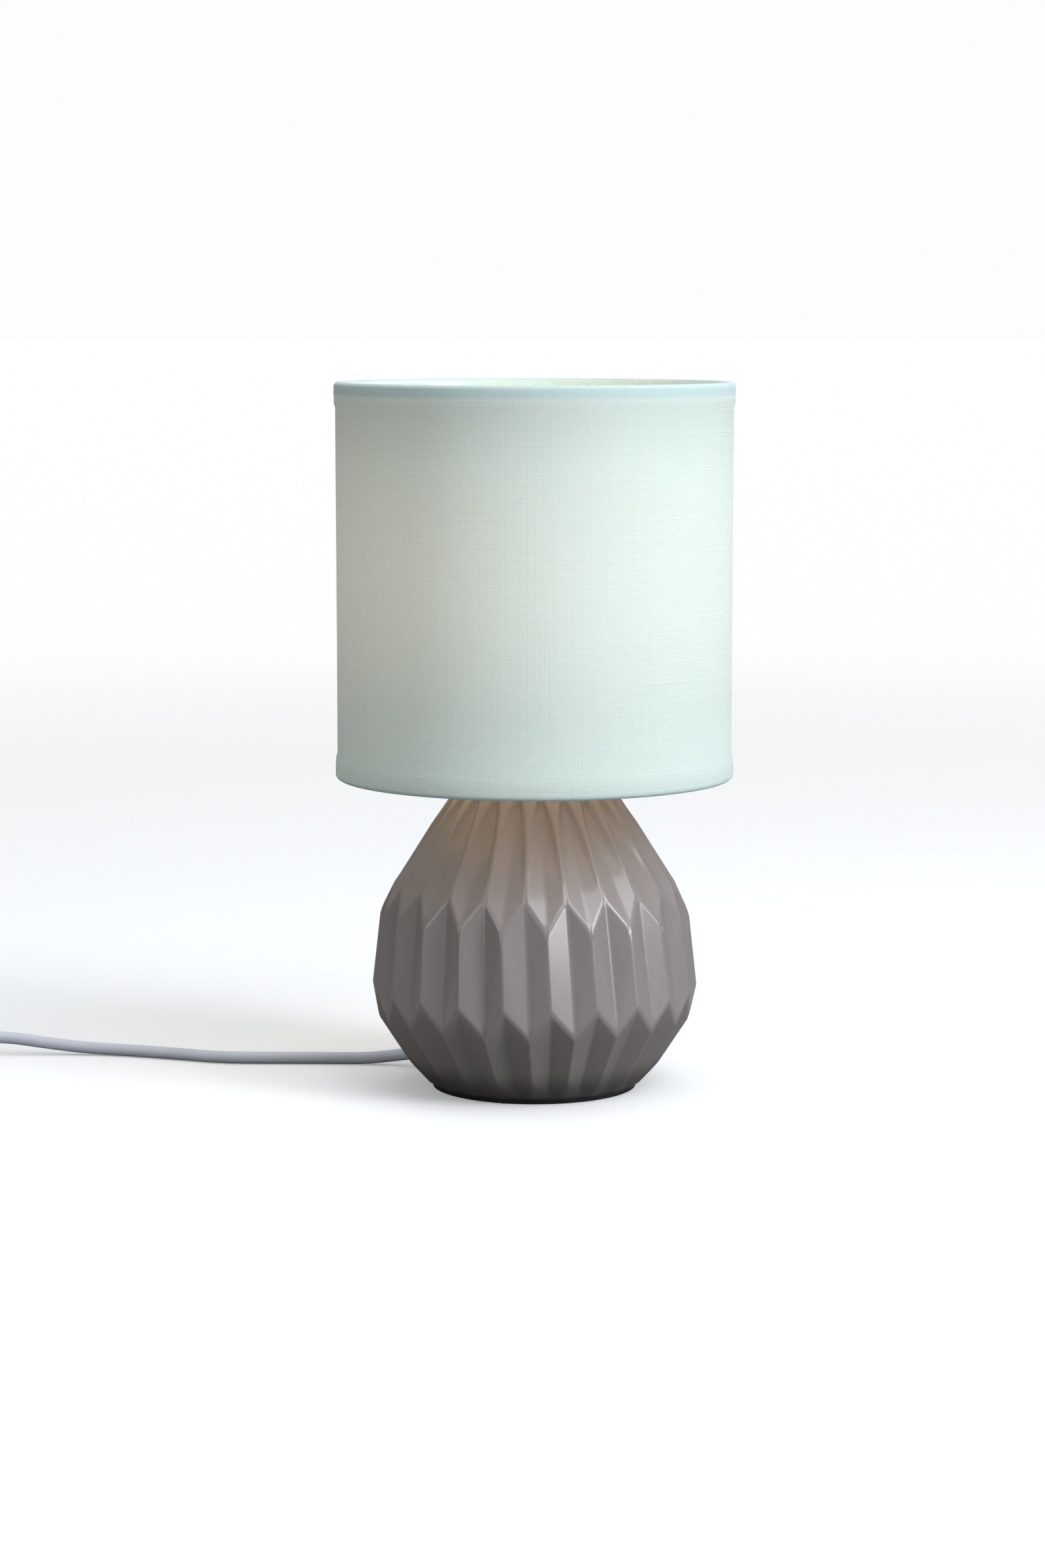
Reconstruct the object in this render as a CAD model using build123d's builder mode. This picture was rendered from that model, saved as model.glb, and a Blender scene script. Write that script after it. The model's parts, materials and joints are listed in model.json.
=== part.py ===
"""Small table lamp: pleated ceramic base, linen drum shade, mains lead with a rocker switch.

Millimetres. The origin is the centre of the foot, on the surface that the lamp stands on.
+Z is up and -Y is the front.
"""
from build123d import *
import os
from math import cos, pi, radians, sin, tan

# ---- ceramic base: zigzag pleats in five tiers --------------------------------------------
pleat_count = 22
pleat_phase = 4.3  # degrees from the front towards +X, to the nearest out-fold of the belly
pleat_lean = 3.0  # degrees that the folds have swung towards +X at the foot
lean_height = 75.0  # the folds run straight above this height
foot_height = 1.2  # the ceramic stands on the pad, this far up
neck_height = 128.8
# radius and height of the folds, from the neck down to the foot
belly_folds = [
    (27.2, neck_height), (31.4, 117.6), (62.7, 71.8),
    (66.1, 40.9), (43.4, 4.2), (41.6, foot_height),
]
shoulder_folds = [
    (25.0, neck_height), (42.0, 107.9), (57.0, 84.0),
    (63.8, 30.0), (50.6, 9.8), (42.6, foot_height),
]
ceramic_wall = 4.5
neck_wall = 5.0

# ---- lamp axis: threaded tube and what it clamps ------------------------------------------
tube_diameter = 10.0
tube_bore = 7.0
tube_below_nut = 3.0
tube_into_holder = 11.0
tube_clearance = 0.3
washer_diameter = 30.0
washer_thickness = 1.5
nut_across_flats = 14.0
nut_thickness = 4.0
neck_plate_diameter = 44.0
neck_plate_thickness = 1.6

# ---- lamp holder ---------------------------------------------------------------------------
holder_diameter = 28.0
holder_wall = 1.6
holder_cap_height = 20.4
holder_cap_foot_diameter = 18.0
holder_flange_diameter = 33.0
holder_flange_thickness = 3.0
holder_skirt_height = 34.0
insert_floor = 8.0
shell_bore = 14.2  # the bulb's screw cap goes in here
shell_wall = 0.4
thread_pitch = 2.5
thread_depth = 0.5
lock_screw_diameter = 2.6
lock_screw_height = 3.0
terminal_spread = 13.0
core_diameter = 2.0
core_spread = 1.3  # from the lead's centre to each core's

# ---- bulb ----------------------------------------------------------------------------------
globe_diameter = 45.0
globe_wall = 0.9
bulb_length = 78.0
bulb_cap_diameter = 13.4
bulb_cap_height = 18.0
bulb_neck_diameter = 17.0
bulb_insulator_height = 3.2
bulb_contact_height = 1.2
bulb_contact_gap = 0.3
bulb_collar_height = 1.5
bulb_collar_room = 0.7

# ---- shade ---------------------------------------------------------------------------------
shade_diameter = 158.8
shade_bottom = 126.1
shade_height = 158.5
fabric_thickness = 0.6
liner_thickness = 0.4
hem_height = 9.0
hem_bulge = 0.7
shade_wire = 3.0
fitter_wire = 2.6
fitter_diameter = 42.0
fitter_thickness = 1.2
spoke_count = 3
spoke_drop_width = 12.0  # the spokes turn down this far inside the bottom wire
spoke_bend = 7.0
spoke_start = 17.6
seam_width = 16.0
seam_thickness = 0.3
seam_angle = 120.0  # degrees from +X, at the back left
retaining_ring_diameter = 43.0
retaining_ring_height = 8.0
retaining_ring_grips = 24
running_gap = 0.3

# ---- mains lead ----------------------------------------------------------------------------
cord_diameter = 5.0
exit_height = 6.5
exit_pleat = 8  # the lead leaves through the wall this many pleats round to the left
exit_face = 44.6  # radius of the flat that the grommet's flange sits on
grommet_flange_diameter = 9.6
grommet_flange = 1.8
grommet_body_diameter = 7.2
grommet_length = 9.0
anchor_distance = 27.0
anchor_length = 8.0
anchor_width = 16.0
anchor_screw_diameter = 2.6
inner_bend = 22.0
sheath_end_above_plate = 14.0
pad_diameter = 82.4

# ---- switch on the lead ----------------------------------------------------------------------
switch_x = -270.0
switch_y = 62.0
switch_length = 60.0
switch_width = 27.0
switch_height = 17.0
switch_split = 8.0
switch_wall = 2.0
switch_cord_height = 7.5
bush_length = 8.0
bush_diameter = 8.0
lead_seat = 1.0  # how far the sheath reaches into the switch
rocker_length = 22.0
rocker_width = 12.0
rocker_height = 5.2
rocker_dip = 1.0
rocker_gap = 0.4
rocker_tilt = 9.0  # degrees to each side of level; modelled with the inner end down
pivot_height = 13.4
pivot_diameter = 2.0

# ---- coil, tie and plug ----------------------------------------------------------------------
coil_x = -350.0
coil_mid_radius = 27.5
coil_width = 16.0
coil_height = 20.4
coil_corner = 3.0
tie_thickness = 0.8
tie_sweep = 16.0  # degrees of the coil that the tie covers
tie_angle = 300.0
plug_x = -384.5
plug_face_y = -76.5  # the pins point away from the lamp, towards -Y
plug_width = 35.0
plug_thickness = 13.6
plug_length = 30.0
plug_tail_width = 15.0
plug_relief_length = 20.0
relief_grooves = 5
pin_diameter = 4.0
pin_length = 19.0
pin_spacing = 18.6
pin_sleeve_length = 10.0

# ---- places worked out from the sizes --------------------------------------------------------
pleat_pitch = 360 / pleat_count
plate_top = neck_height + neck_plate_thickness
holder_split = plate_top + holder_cap_height
holder_top = holder_split + holder_skirt_height
shell_floor = holder_split + insert_floor
bulb_tip = shell_floor + 1.4 + bulb_contact_gap
cap_bottom = bulb_tip + bulb_insulator_height + bulb_contact_height
cap_top = cap_bottom + bulb_cap_height
neck_radius = bulb_neck_diameter / 2
globe_centre = bulb_tip + bulb_length - globe_diameter / 2
fitter_bottom = holder_split + running_gap
ring_bottom = fitter_bottom + fitter_thickness + running_gap
shade_top = shade_bottom + shade_height
fabric_outside = shade_diameter / 2
liner_outside = fabric_outside - fabric_thickness
wire_centre = liner_outside - liner_thickness - shade_wire / 2
bottom_wire = shade_bottom + fabric_thickness + shade_wire / 2
top_wire = shade_top - fabric_thickness - shade_wire / 2
exit_angle = radians(pleat_phase - exit_pleat * pleat_pitch)
exit_direction = Vector(sin(exit_angle), -cos(exit_angle), 0)
exit_end = exit_face + grommet_flange
anchor_height = 2 * (exit_height - foot_height)  # the anchor stands on the pad
switch_front = switch_x + switch_length / 2
switch_back = switch_x - switch_length / 2
coil_y = switch_y - coil_mid_radius - cord_diameter
coil_base = tie_thickness
plug_z = plug_thickness / 2
plug_back = plug_face_y + plug_length
relief_end = plug_back + plug_relief_length

os.makedirs("parts", exist_ok=True)


def finish_part(piece, name):
    """Label a finished piece and write its file."""
    piece.part.label = name
    export_step(piece.part, f"parts/{name}.step")


def fold_point(angle, fold):
    """A fold's corner; the angle is in degrees from the front towards +X, before the lean."""
    radius, height = fold
    lean = pleat_lean * max(0, lean_height - height) / lean_height
    turn = radians(angle + lean)
    return Vector(radius * sin(turn), -radius * cos(turn), height)


def pleated_body():
    """The closed outer form: two sets of folds, half a pleat apart, joined by flat facets."""
    angles = [pleat_phase + pleat * pleat_pitch for pleat in range(pleat_count)]
    bellies = [[fold_point(angle, fold) for fold in belly_folds] for angle in angles]
    shoulders = [[fold_point(angle + pleat_pitch / 2, fold) for fold in shoulder_folds] for angle in angles]
    facets = []
    for pleat, belly in enumerate(bellies):
        for shoulder in (shoulders[pleat - 1], shoulders[pleat]):
            for tier in range(len(belly) - 1):
                lower = shoulder[tier + 1]
                facets.append(Face(Wire.make_polygon([belly[tier], belly[tier + 1], lower])))
                facets.append(Face(Wire.make_polygon([belly[tier], lower, shoulder[tier]])))
    for level in (0, -1):
        corners = [line[level] for pair in zip(bellies, shoulders) for line in pair]
        facets.append(Face(Wire.make_polygon(corners)))
    return Solid(Shell(facets))


def fold_radius(folds, height):
    """Radius of a line of folds at a height between its ends."""
    for (upper_radius, upper), (lower_radius, lower) in zip(folds, folds[1:]):
        if lower <= height <= upper:
            return lower_radius + (upper_radius - lower_radius) * (height - lower) / (upper - lower)
    return folds[-1][0]


def cavity_outline():
    """Half section of the hollow: a wall's thickness inside the deeper folds."""
    roof = neck_height - neck_wall
    heights = {height for _, height in belly_folds + shoulder_folds if height < roof}
    outline = [(0, foot_height)]
    for height in sorted(heights | {roof}):
        deeper = min(fold_radius(belly_folds, height), fold_radius(shoulder_folds, height))
        outline.append((deeper - ceramic_wall, height))
    return outline + [(0, roof)]


def exit_plane(distance):
    """Plane square to the lead where it passes through the wall, facing outwards."""
    return Plane(origin=exit_direction * distance + Vector(0, 0, exit_height), z_dir=exit_direction)


def route_radii(points):
    """The arc at each corner of a free cord: as large as its two runs allow."""
    radii = []
    for before, corner, after in zip(points, points[1:], points[2:]):
        run_in = corner - before
        run_out = after - corner
        half_turn = radians(run_in.get_angle(run_out)) / 2
        radii.append(0.45 * min(run_in.length, run_out.length) / tan(half_turn))
    return radii


def report_tube(name, piece, line, radii, diameter):
    """Print a tube's arcs, and its volume against its section times its length."""
    length = sum(edge.length for edge in line.edges())
    filled = piece.part.volume / (pi * diameter**2 / 4 * length)
    print(name, "length", round(length, 1), "radii", [round(radius, 1) for radius in radii])
    print(name, "volume over section times length", round(filled, 4))


# ---- ceramic base ----------------------------------------------------------------------------
with BuildPart() as ceramic_base:
    add(pleated_body())
    with BuildSketch(Plane.XZ):
        with BuildLine():
            Polyline(*cavity_outline(), close=True)
        make_face()
    revolve(axis=Axis.Z, mode=Mode.SUBTRACT)
    with BuildSketch(Plane.XY.offset(neck_height)):
        Circle(tube_diameter / 2 + tube_clearance)
    extrude(amount=-neck_wall, mode=Mode.SUBTRACT)
    with BuildSketch(exit_plane(exit_face)):
        Circle(grommet_flange_diameter / 2 + tube_clearance)
    extrude(amount=2 * grommet_flange_diameter, mode=Mode.SUBTRACT)
    with BuildSketch(exit_plane(exit_face)):
        Circle(grommet_body_diameter / 2)
    extrude(amount=-2 * grommet_length, mode=Mode.SUBTRACT)
finish_part(ceramic_base, "ceramic_base")

with BuildPart() as base_pad:
    with BuildSketch():
        Circle(pad_diameter / 2)
    extrude(amount=foot_height)
finish_part(base_pad, "base_pad")

# ---- where the lead comes in ---------------------------------------------------------------
with BuildPart() as cord_grommet:
    with BuildSketch(exit_plane(exit_face)):
        Circle(grommet_flange_diameter / 2)
    extrude(amount=grommet_flange)
    fillet(cord_grommet.edges().sort_by(lambda edge: edge.center().dot(exit_direction))[-1], 0.8)
    with BuildSketch(exit_plane(exit_face)):
        Circle(grommet_body_diameter / 2)
    extrude(amount=grommet_flange - grommet_length)
    with BuildSketch(exit_plane(exit_end)):
        Circle(cord_diameter / 2)
    extrude(amount=-grommet_length, mode=Mode.SUBTRACT)
finish_part(cord_grommet, "cord_grommet")

anchor_plane = Plane(
    origin=exit_direction * anchor_distance + Vector(0, 0, exit_height - anchor_height / 2),
    x_dir=exit_direction,
    z_dir=(0, 0, 1),
)
anchor_screw_places = [(0, -anchor_width / 3), (0, anchor_width / 3)]
with BuildPart() as cord_anchor:
    with BuildSketch(anchor_plane):
        RectangleRounded(anchor_length, anchor_width, 1.5)
    extrude(amount=anchor_height)
    with BuildSketch(exit_plane(anchor_distance + anchor_length)):
        Circle(cord_diameter / 2)
    extrude(amount=-2 * anchor_length, mode=Mode.SUBTRACT)
    with BuildSketch(anchor_plane):
        with Locations(anchor_screw_places):
            Circle(anchor_screw_diameter / 2)
    extrude(amount=anchor_height, mode=Mode.SUBTRACT)
finish_part(cord_anchor, "cord_anchor")

with BuildPart() as anchor_screws:
    with BuildSketch(anchor_plane):
        with Locations(anchor_screw_places):
            Circle(anchor_screw_diameter / 2)
    extrude(amount=anchor_height)
    with BuildSketch(anchor_plane.offset(anchor_height)):
        with Locations(anchor_screw_places):
            Circle(anchor_screw_diameter * 0.9)
    extrude(amount=1.5)
    with BuildSketch(anchor_plane.offset(anchor_height + 1.5)):
        with Locations(anchor_screw_places):
            Rectangle(2 * anchor_screw_diameter, 0.6)
    extrude(amount=-0.8, mode=Mode.SUBTRACT)
finish_part(anchor_screws, "anchor_screws")

# ---- threaded tube and what it clamps --------------------------------------------------------
washer_top = neck_height - neck_wall
nut_top = washer_top - washer_thickness
tube_bottom = nut_top - nut_thickness - tube_below_nut
tube_top = plate_top + tube_into_holder
with BuildPart() as threaded_tube:
    with BuildSketch(Plane.XY.offset(tube_bottom)):
        Circle(tube_diameter / 2)
        Circle(tube_bore / 2, mode=Mode.SUBTRACT)
    extrude(amount=tube_top - tube_bottom)
    chamfer(threaded_tube.faces().filter_by(Axis.Z).edges(), 0.4)
finish_part(threaded_tube, "threaded_tube")

with BuildPart() as fixing_washer:
    with BuildSketch(Plane.XY.offset(nut_top)):
        Circle(washer_diameter / 2)
        Circle(tube_diameter / 2, mode=Mode.SUBTRACT)
    extrude(amount=washer_thickness)
finish_part(fixing_washer, "fixing_washer")

with BuildPart() as fixing_nut:
    with BuildSketch(Plane.XY.offset(nut_top - nut_thickness)):
        RegularPolygon(nut_across_flats / 2, 6, major_radius=False)
        Circle(tube_diameter / 2, mode=Mode.SUBTRACT)
    extrude(amount=nut_thickness)
finish_part(fixing_nut, "fixing_nut")

with BuildPart() as neck_plate:
    with BuildSketch(Plane.XY.offset(neck_height)):
        Circle(neck_plate_diameter / 2)
    extrude(amount=neck_plate_thickness)
    fillet(neck_plate.faces().sort_by(Axis.Z)[-1].edges(), neck_plate_thickness * 0.6)
    Hole(tube_diameter / 2, depth=4 * neck_height)
finish_part(neck_plate, "neck_plate")

# ---- lamp holder ------------------------------------------------------------------------------
cap_outside = [
    (tube_diameter / 2, plate_top),
    (holder_cap_foot_diameter / 2, plate_top),
    (holder_cap_foot_diameter / 2, plate_top + 6),
    (holder_diameter / 2, plate_top + 12),
    (holder_diameter / 2, holder_split - holder_flange_thickness),
    (holder_flange_diameter / 2, holder_split - holder_flange_thickness),
    (holder_flange_diameter / 2, holder_split),
]
cap_inside = [
    (holder_diameter / 2 - holder_wall, holder_split),
    (holder_diameter / 2 - holder_wall, plate_top + 13),
    (tube_diameter / 2, plate_top + tube_into_holder - 1),
]
with BuildPart() as holder_cap:
    with BuildSketch(Plane.XZ):
        with BuildLine():
            Polyline(*cap_outside, *cap_inside, close=True)
        make_face()
    revolve(axis=Axis.Z)
    with BuildSketch(Plane.YZ):
        with Locations((0, plate_top + lock_screw_height)):
            Circle(lock_screw_diameter / 2)
    extrude(amount=holder_cap_foot_diameter, mode=Mode.SUBTRACT)
finish_part(holder_cap, "holder_cap")

with BuildPart() as holder_lock_screw:
    with BuildSketch(Plane.YZ.offset(tube_diameter / 2)):
        with Locations((0, plate_top + lock_screw_height)):
            Circle(lock_screw_diameter / 2)
    extrude(amount=(holder_cap_foot_diameter - tube_diameter) / 2 + 0.8)
finish_part(holder_lock_screw, "holder_lock_screw")

with BuildPart() as holder_skirt:
    with BuildSketch(Plane.XY.offset(holder_split)):
        Circle(holder_diameter / 2)
        Circle(holder_diameter / 2 - holder_wall, mode=Mode.SUBTRACT)
    extrude(amount=holder_skirt_height)
    thread_turns = int(holder_skirt_height / thread_pitch) - 2
    with BuildSketch(Plane.XZ):
        for turn in range(thread_turns):
            with Locations((holder_diameter / 2, holder_split + (turn + 1.5) * thread_pitch)):
                Rectangle(2 * thread_depth, thread_pitch / 2)
    revolve(axis=Axis.Z, mode=Mode.SUBTRACT)
finish_part(holder_skirt, "holder_skirt")

insert_outside = holder_diameter / 2 - holder_wall
terminal_places = [(-terminal_spread / 2, 0), (terminal_spread / 2, 0)]
with BuildPart() as holder_insert:
    with BuildSketch(Plane.XY.offset(holder_split)):
        Circle(insert_outside)
    extrude(amount=holder_skirt_height - 1)
    with BuildSketch(Plane.XY.offset(shell_floor)):
        Circle(shell_bore / 2 + shell_wall)
    extrude(amount=holder_skirt_height, mode=Mode.SUBTRACT)
    with BuildSketch(Plane.XY.offset(cap_top - bulb_collar_height - bulb_collar_room)):
        Circle(neck_radius + bulb_collar_room)
    extrude(amount=holder_skirt_height, mode=Mode.SUBTRACT)
    with BuildSketch(Plane.XY.offset(holder_split)):
        with Locations(terminal_places):
            Circle(1.5)
    extrude(amount=insert_floor / 2, mode=Mode.SUBTRACT)
finish_part(holder_insert, "holder_insert")

with BuildPart() as terminal_screws:
    with BuildSketch(Plane.XY.offset(holder_split)):
        with Locations(terminal_places):
            Circle(1.5)
    extrude(amount=insert_floor / 2)
    with BuildSketch(Plane.XY.offset(holder_split)):
        with Locations(terminal_places):
            Circle(2.6)
    extrude(amount=-1.4)
finish_part(terminal_screws, "terminal_screws")

with BuildPart() as holder_screw_shell:
    with BuildSketch(Plane.XY.offset(shell_floor)):
        Circle(shell_bore / 2 + shell_wall)
        Circle(shell_bore / 2, mode=Mode.SUBTRACT)
    extrude(amount=cap_top - bulb_collar_height - bulb_collar_room - shell_floor)
finish_part(holder_screw_shell, "holder_screw_shell")

with BuildPart() as holder_centre_contact:
    with BuildSketch(Plane.XY.offset(shell_floor)):
        Rectangle(9, 3.4)
    extrude(amount=0.6)
    with BuildSketch(Plane.XY.offset(shell_floor + 0.6)):
        Circle(1.6)
    extrude(amount=0.8)
finish_part(holder_centre_contact, "holder_centre_contact")

# ---- bulb --------------------------------------------------------------------------------------
globe_radius = globe_diameter / 2
neck_join = globe_centre - globe_radius * cos(radians(38))
neck_join_radius = globe_radius * sin(radians(38))
with BuildPart() as bulb_globe:
    with BuildSketch(Plane.XZ):
        with BuildLine():
            Line((0, cap_top), (neck_radius, cap_top))
            Spline(
                (neck_radius, cap_top),
                (neck_join_radius, neck_join),
                tangents=[(0.1, 1), (cos(radians(38)), sin(radians(38)))],
            )
            ThreePointArc(
                (neck_join_radius, neck_join),
                (globe_radius, globe_centre),
                (0, globe_centre + globe_radius),
            )
            Line((0, globe_centre + globe_radius), (0, cap_top))
        make_face()
    revolve(axis=Axis.Z)
    offset(amount=-globe_wall, openings=bulb_globe.faces().sort_by(Axis.Z)[0])
finish_part(bulb_globe, "bulb_globe")

with BuildPart() as bulb_screw_cap:
    with BuildSketch(Plane.XY.offset(cap_bottom)):
        Circle(bulb_cap_diameter / 2)
    extrude(amount=bulb_cap_height - bulb_collar_height)
    with BuildSketch(Plane.XY.offset(cap_top - bulb_collar_height)):
        Circle(neck_radius)
    extrude(amount=bulb_collar_height)
    chamfer(bulb_screw_cap.edges().sort_by(Axis.Z)[0], 1.0)
    with BuildSketch(Plane.XY.offset(cap_top)):
        Circle(bulb_cap_diameter / 2 - 0.8)
    extrude(amount=-(bulb_cap_height - 1), mode=Mode.SUBTRACT)
finish_part(bulb_screw_cap, "bulb_screw_cap")

with BuildPart() as bulb_insulator:
    with BuildSketch(Plane.XY.offset(cap_bottom)):
        Circle(bulb_cap_diameter / 2 - 1.2)
    extrude(amount=-bulb_insulator_height, taper=32)
finish_part(bulb_insulator, "bulb_insulator")

with BuildPart() as bulb_tip_contact:
    with BuildSketch(Plane.XY.offset(cap_bottom - bulb_insulator_height)):
        Circle(2.2)
    extrude(amount=-bulb_contact_height, taper=20)
finish_part(bulb_tip_contact, "bulb_tip_contact")

# ---- shade -------------------------------------------------------------------------------------
lip = wire_centre - shade_wire / 2 - fabric_thickness
bulge = fabric_outside + hem_bulge


def hem_outline(edge, towards):
    """Half section of the fabric turned round a wire; towards is +1 at the bottom, -1 at the top."""
    return [
        (fabric_outside, edge + towards * (hem_height + 1.5)),
        (bulge, edge + towards * hem_height),
        (bulge, edge + towards * 1.0),
        (bulge - 1.0, edge),
        (lip + 1.0, edge),
        (lip, edge + towards * 1.0),
        (lip, edge + towards * (hem_height - 2)),
        (lip + fabric_thickness, edge + towards * (hem_height - 2)),
        (lip + fabric_thickness, edge + towards * fabric_thickness),
        (liner_outside, edge + towards * fabric_thickness),
    ]


with BuildPart() as shade_fabric:
    with BuildSketch(Plane.XZ):
        with BuildLine():
            Polyline(
                *hem_outline(shade_bottom, 1),
                *reversed(hem_outline(shade_top, -1)),
                close=True,
            )
        make_face()
    revolve(axis=Axis.Z)
finish_part(shade_fabric, "shade_fabric")

with BuildPart() as shade_liner:
    with BuildSketch(Plane.XY.offset(shade_bottom + fabric_thickness)):
        Circle(liner_outside)
        Circle(liner_outside - liner_thickness, mode=Mode.SUBTRACT)
    extrude(amount=shade_height - 2 * fabric_thickness)
finish_part(shade_liner, "shade_liner")

strip_outside = liner_outside - liner_thickness
strip_angle = seam_width / strip_outside * 180 / pi
with BuildPart() as shade_seam_strip:
    with BuildSketch(Plane.XZ.rotated((0, 0, seam_angle - strip_angle / 2))):
        with Locations((strip_outside - seam_thickness / 2, (shade_bottom + shade_top) / 2)):
            Rectangle(seam_thickness, shade_height - 2 * hem_height)
    revolve(axis=Axis.Z, revolution_arc=strip_angle)
finish_part(shade_seam_strip, "shade_seam_strip")

with BuildPart() as shade_top_ring:
    with BuildSketch(Plane.XZ):
        with Locations((wire_centre, top_wire)):
            Circle(shade_wire / 2)
    revolve(axis=Axis.Z)
finish_part(shade_top_ring, "shade_top_ring")

with BuildPart() as shade_bottom_ring:
    with BuildSketch(Plane.XZ):
        with Locations((wire_centre, bottom_wire)):
            Circle(shade_wire / 2)
    revolve(axis=Axis.Z)
finish_part(shade_bottom_ring, "shade_bottom_ring")

with BuildPart() as shade_fitter_ring:
    with BuildSketch(Plane.XY.offset(fitter_bottom)):
        Circle(fitter_diameter / 2)
        Circle(holder_diameter / 2 + running_gap, mode=Mode.SUBTRACT)
    extrude(amount=fitter_thickness)
finish_part(shade_fitter_ring, "shade_fitter_ring")

spoke_height = fitter_bottom - fitter_wire / 2
spoke_end = lip - fitter_wire / 2
with BuildPart() as one_spoke:
    with BuildLine(Plane.XZ) as spoke_line:
        FilletPolyline(
            (spoke_start, spoke_height),
            (spoke_end - spoke_drop_width, spoke_height),
            (spoke_end, bottom_wire + hem_height),
            (spoke_end, shade_bottom + fabric_thickness),
            radius=spoke_bend,
        )
    with BuildSketch(spoke_line.line ^ 0):
        Circle(fitter_wire / 2)
    sweep()
with BuildPart() as shade_spokes:
    with PolarLocations(0, spoke_count, start_angle=90):
        add(one_spoke.part)
finish_part(shade_spokes, "shade_spokes")

with BuildPart() as shade_retaining_ring:
    with BuildSketch(Plane.XY.offset(ring_bottom)):
        Circle(retaining_ring_diameter / 2)
        Circle(holder_diameter / 2 + running_gap, mode=Mode.SUBTRACT)
        with PolarLocations(retaining_ring_diameter / 2 + 0.2, retaining_ring_grips):
            Circle(1.0, mode=Mode.SUBTRACT)
    extrude(amount=retaining_ring_height)
finish_part(shade_retaining_ring, "shade_retaining_ring")

# ---- lead inside the lamp ---------------------------------------------------------------------
sheath_end = plate_top + sheath_end_above_plate
lead_in = exit_direction * exit_end + Vector(0, 0, exit_height)
with BuildPart() as inner_lead:
    with BuildLine() as inner_line:
        FilletPolyline(lead_in, (0, 0, exit_height), (0, 0, sheath_end), radius=inner_bend)
    with BuildSketch(inner_line.line ^ 0):
        Circle(cord_diameter / 2)
    sweep()
finish_part(inner_lead, "inner_lead")
report_tube("inner_lead", inner_lead, inner_line.line, [inner_bend], cord_diameter)

core_turn = (sheath_end + holder_split - 1.4) / 2
for name, side in (("live_core", 1), ("neutral_core", -1)):
    with BuildPart() as core:
        with BuildLine() as core_line:
            FilletPolyline(
                (side * core_spread, 0, sheath_end),
                (side * core_spread, 0, core_turn),
                (side * terminal_spread / 2, 0, core_turn + 0.4),
                (side * terminal_spread / 2, 0, holder_split - 1.4),
                radius=1.4,
            )
        with BuildSketch(core_line.line ^ 0):
            Circle(core_diameter / 2)
        sweep()
    finish_part(core, name)

# ---- switch -------------------------------------------------------------------------------------
switch_plane = Plane(origin=(switch_x, switch_y, 0))
screw_places = [(-21, 8.5), (21, -8.5)]
post_radius = 2.7
screw_radius = 1.0
screw_head_radius = 2.3
screw_head_height = 1.6
window_length = rocker_length + 2 * rocker_gap
window_width = rocker_width + 2 * rocker_gap
rib_width = 2.6
inner_length = switch_length - 2 * switch_wall
inner_width = switch_width - 2 * switch_wall
cord_level = Plane(origin=(switch_front, switch_y, switch_cord_height), x_dir=(0, 1, 0), z_dir=(1, 0, 0))
cord_level_back = Plane(origin=(switch_back, switch_y, switch_cord_height), x_dir=(0, 1, 0), z_dir=(-1, 0, 0))

with BuildPart() as switch_lower_shell:
    with BuildSketch(switch_plane):
        RectangleRounded(switch_length, switch_width, 9)
    extrude(amount=switch_split)
    fillet(switch_lower_shell.faces().sort_by(Axis.Z)[0].edges(), 1.5)
    with BuildSketch(switch_plane.offset(switch_wall)):
        RectangleRounded(inner_length, inner_width, 7)
    extrude(amount=switch_split, mode=Mode.SUBTRACT)
    with BuildSketch(switch_plane.offset(switch_wall)):
        with Locations(screw_places):
            Circle(post_radius)
    extrude(amount=switch_split - switch_wall)
    with BuildSketch(switch_plane):
        with Locations(screw_places):
            Circle(screw_radius + 0.2)
    extrude(amount=switch_split, mode=Mode.SUBTRACT)
    with BuildSketch(switch_plane):
        with Locations(screw_places):
            Circle(screw_head_radius + 0.2)
    extrude(amount=screw_head_height, mode=Mode.SUBTRACT)
    with BuildSketch(cord_level):
        Circle(bush_diameter / 2)
    extrude(amount=-switch_length, mode=Mode.SUBTRACT)
finish_part(switch_lower_shell, "switch_lower_shell")

with BuildPart() as switch_upper_shell:
    with BuildSketch(switch_plane.offset(switch_split)):
        RectangleRounded(switch_length, switch_width, 9)
    extrude(amount=switch_height - switch_split)
    fillet(switch_upper_shell.faces().sort_by(Axis.Z)[-1].edges(), 3.0)
    with BuildSketch(switch_plane.offset(switch_split)):
        RectangleRounded(inner_length, inner_width, 7)
    extrude(amount=switch_height - switch_split - switch_wall, mode=Mode.SUBTRACT)
    with BuildSketch(switch_plane.offset(switch_split)):
        with Locations(screw_places):
            Circle(post_radius)
    extrude(amount=switch_height - switch_split - switch_wall)
    with BuildSketch(switch_plane.offset(switch_height - switch_wall)):
        with Locations((0, (window_width + rib_width) / 2), (0, -(window_width + rib_width) / 2)):
            Rectangle(6, rib_width)
    extrude(amount=-(switch_height - switch_wall - pivot_height + 2.5))
    with BuildSketch(switch_plane.offset(switch_split)):
        with Locations(screw_places):
            Circle(screw_radius)
    extrude(amount=5, mode=Mode.SUBTRACT)
    with BuildSketch(switch_plane.offset(switch_height)):
        Rectangle(window_length, window_width)
    extrude(amount=-switch_wall, mode=Mode.SUBTRACT)
    with BuildSketch(Plane(origin=(switch_x, switch_y, pivot_height), z_dir=(0, 1, 0))):
        Circle(pivot_diameter / 2 + 0.05)
    extrude(amount=window_width / 2 + rib_width, both=True, mode=Mode.SUBTRACT)
    with BuildSketch(cord_level):
        Circle(bush_diameter / 2)
    extrude(amount=-switch_length, mode=Mode.SUBTRACT)
finish_part(switch_upper_shell, "switch_upper_shell")

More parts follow.
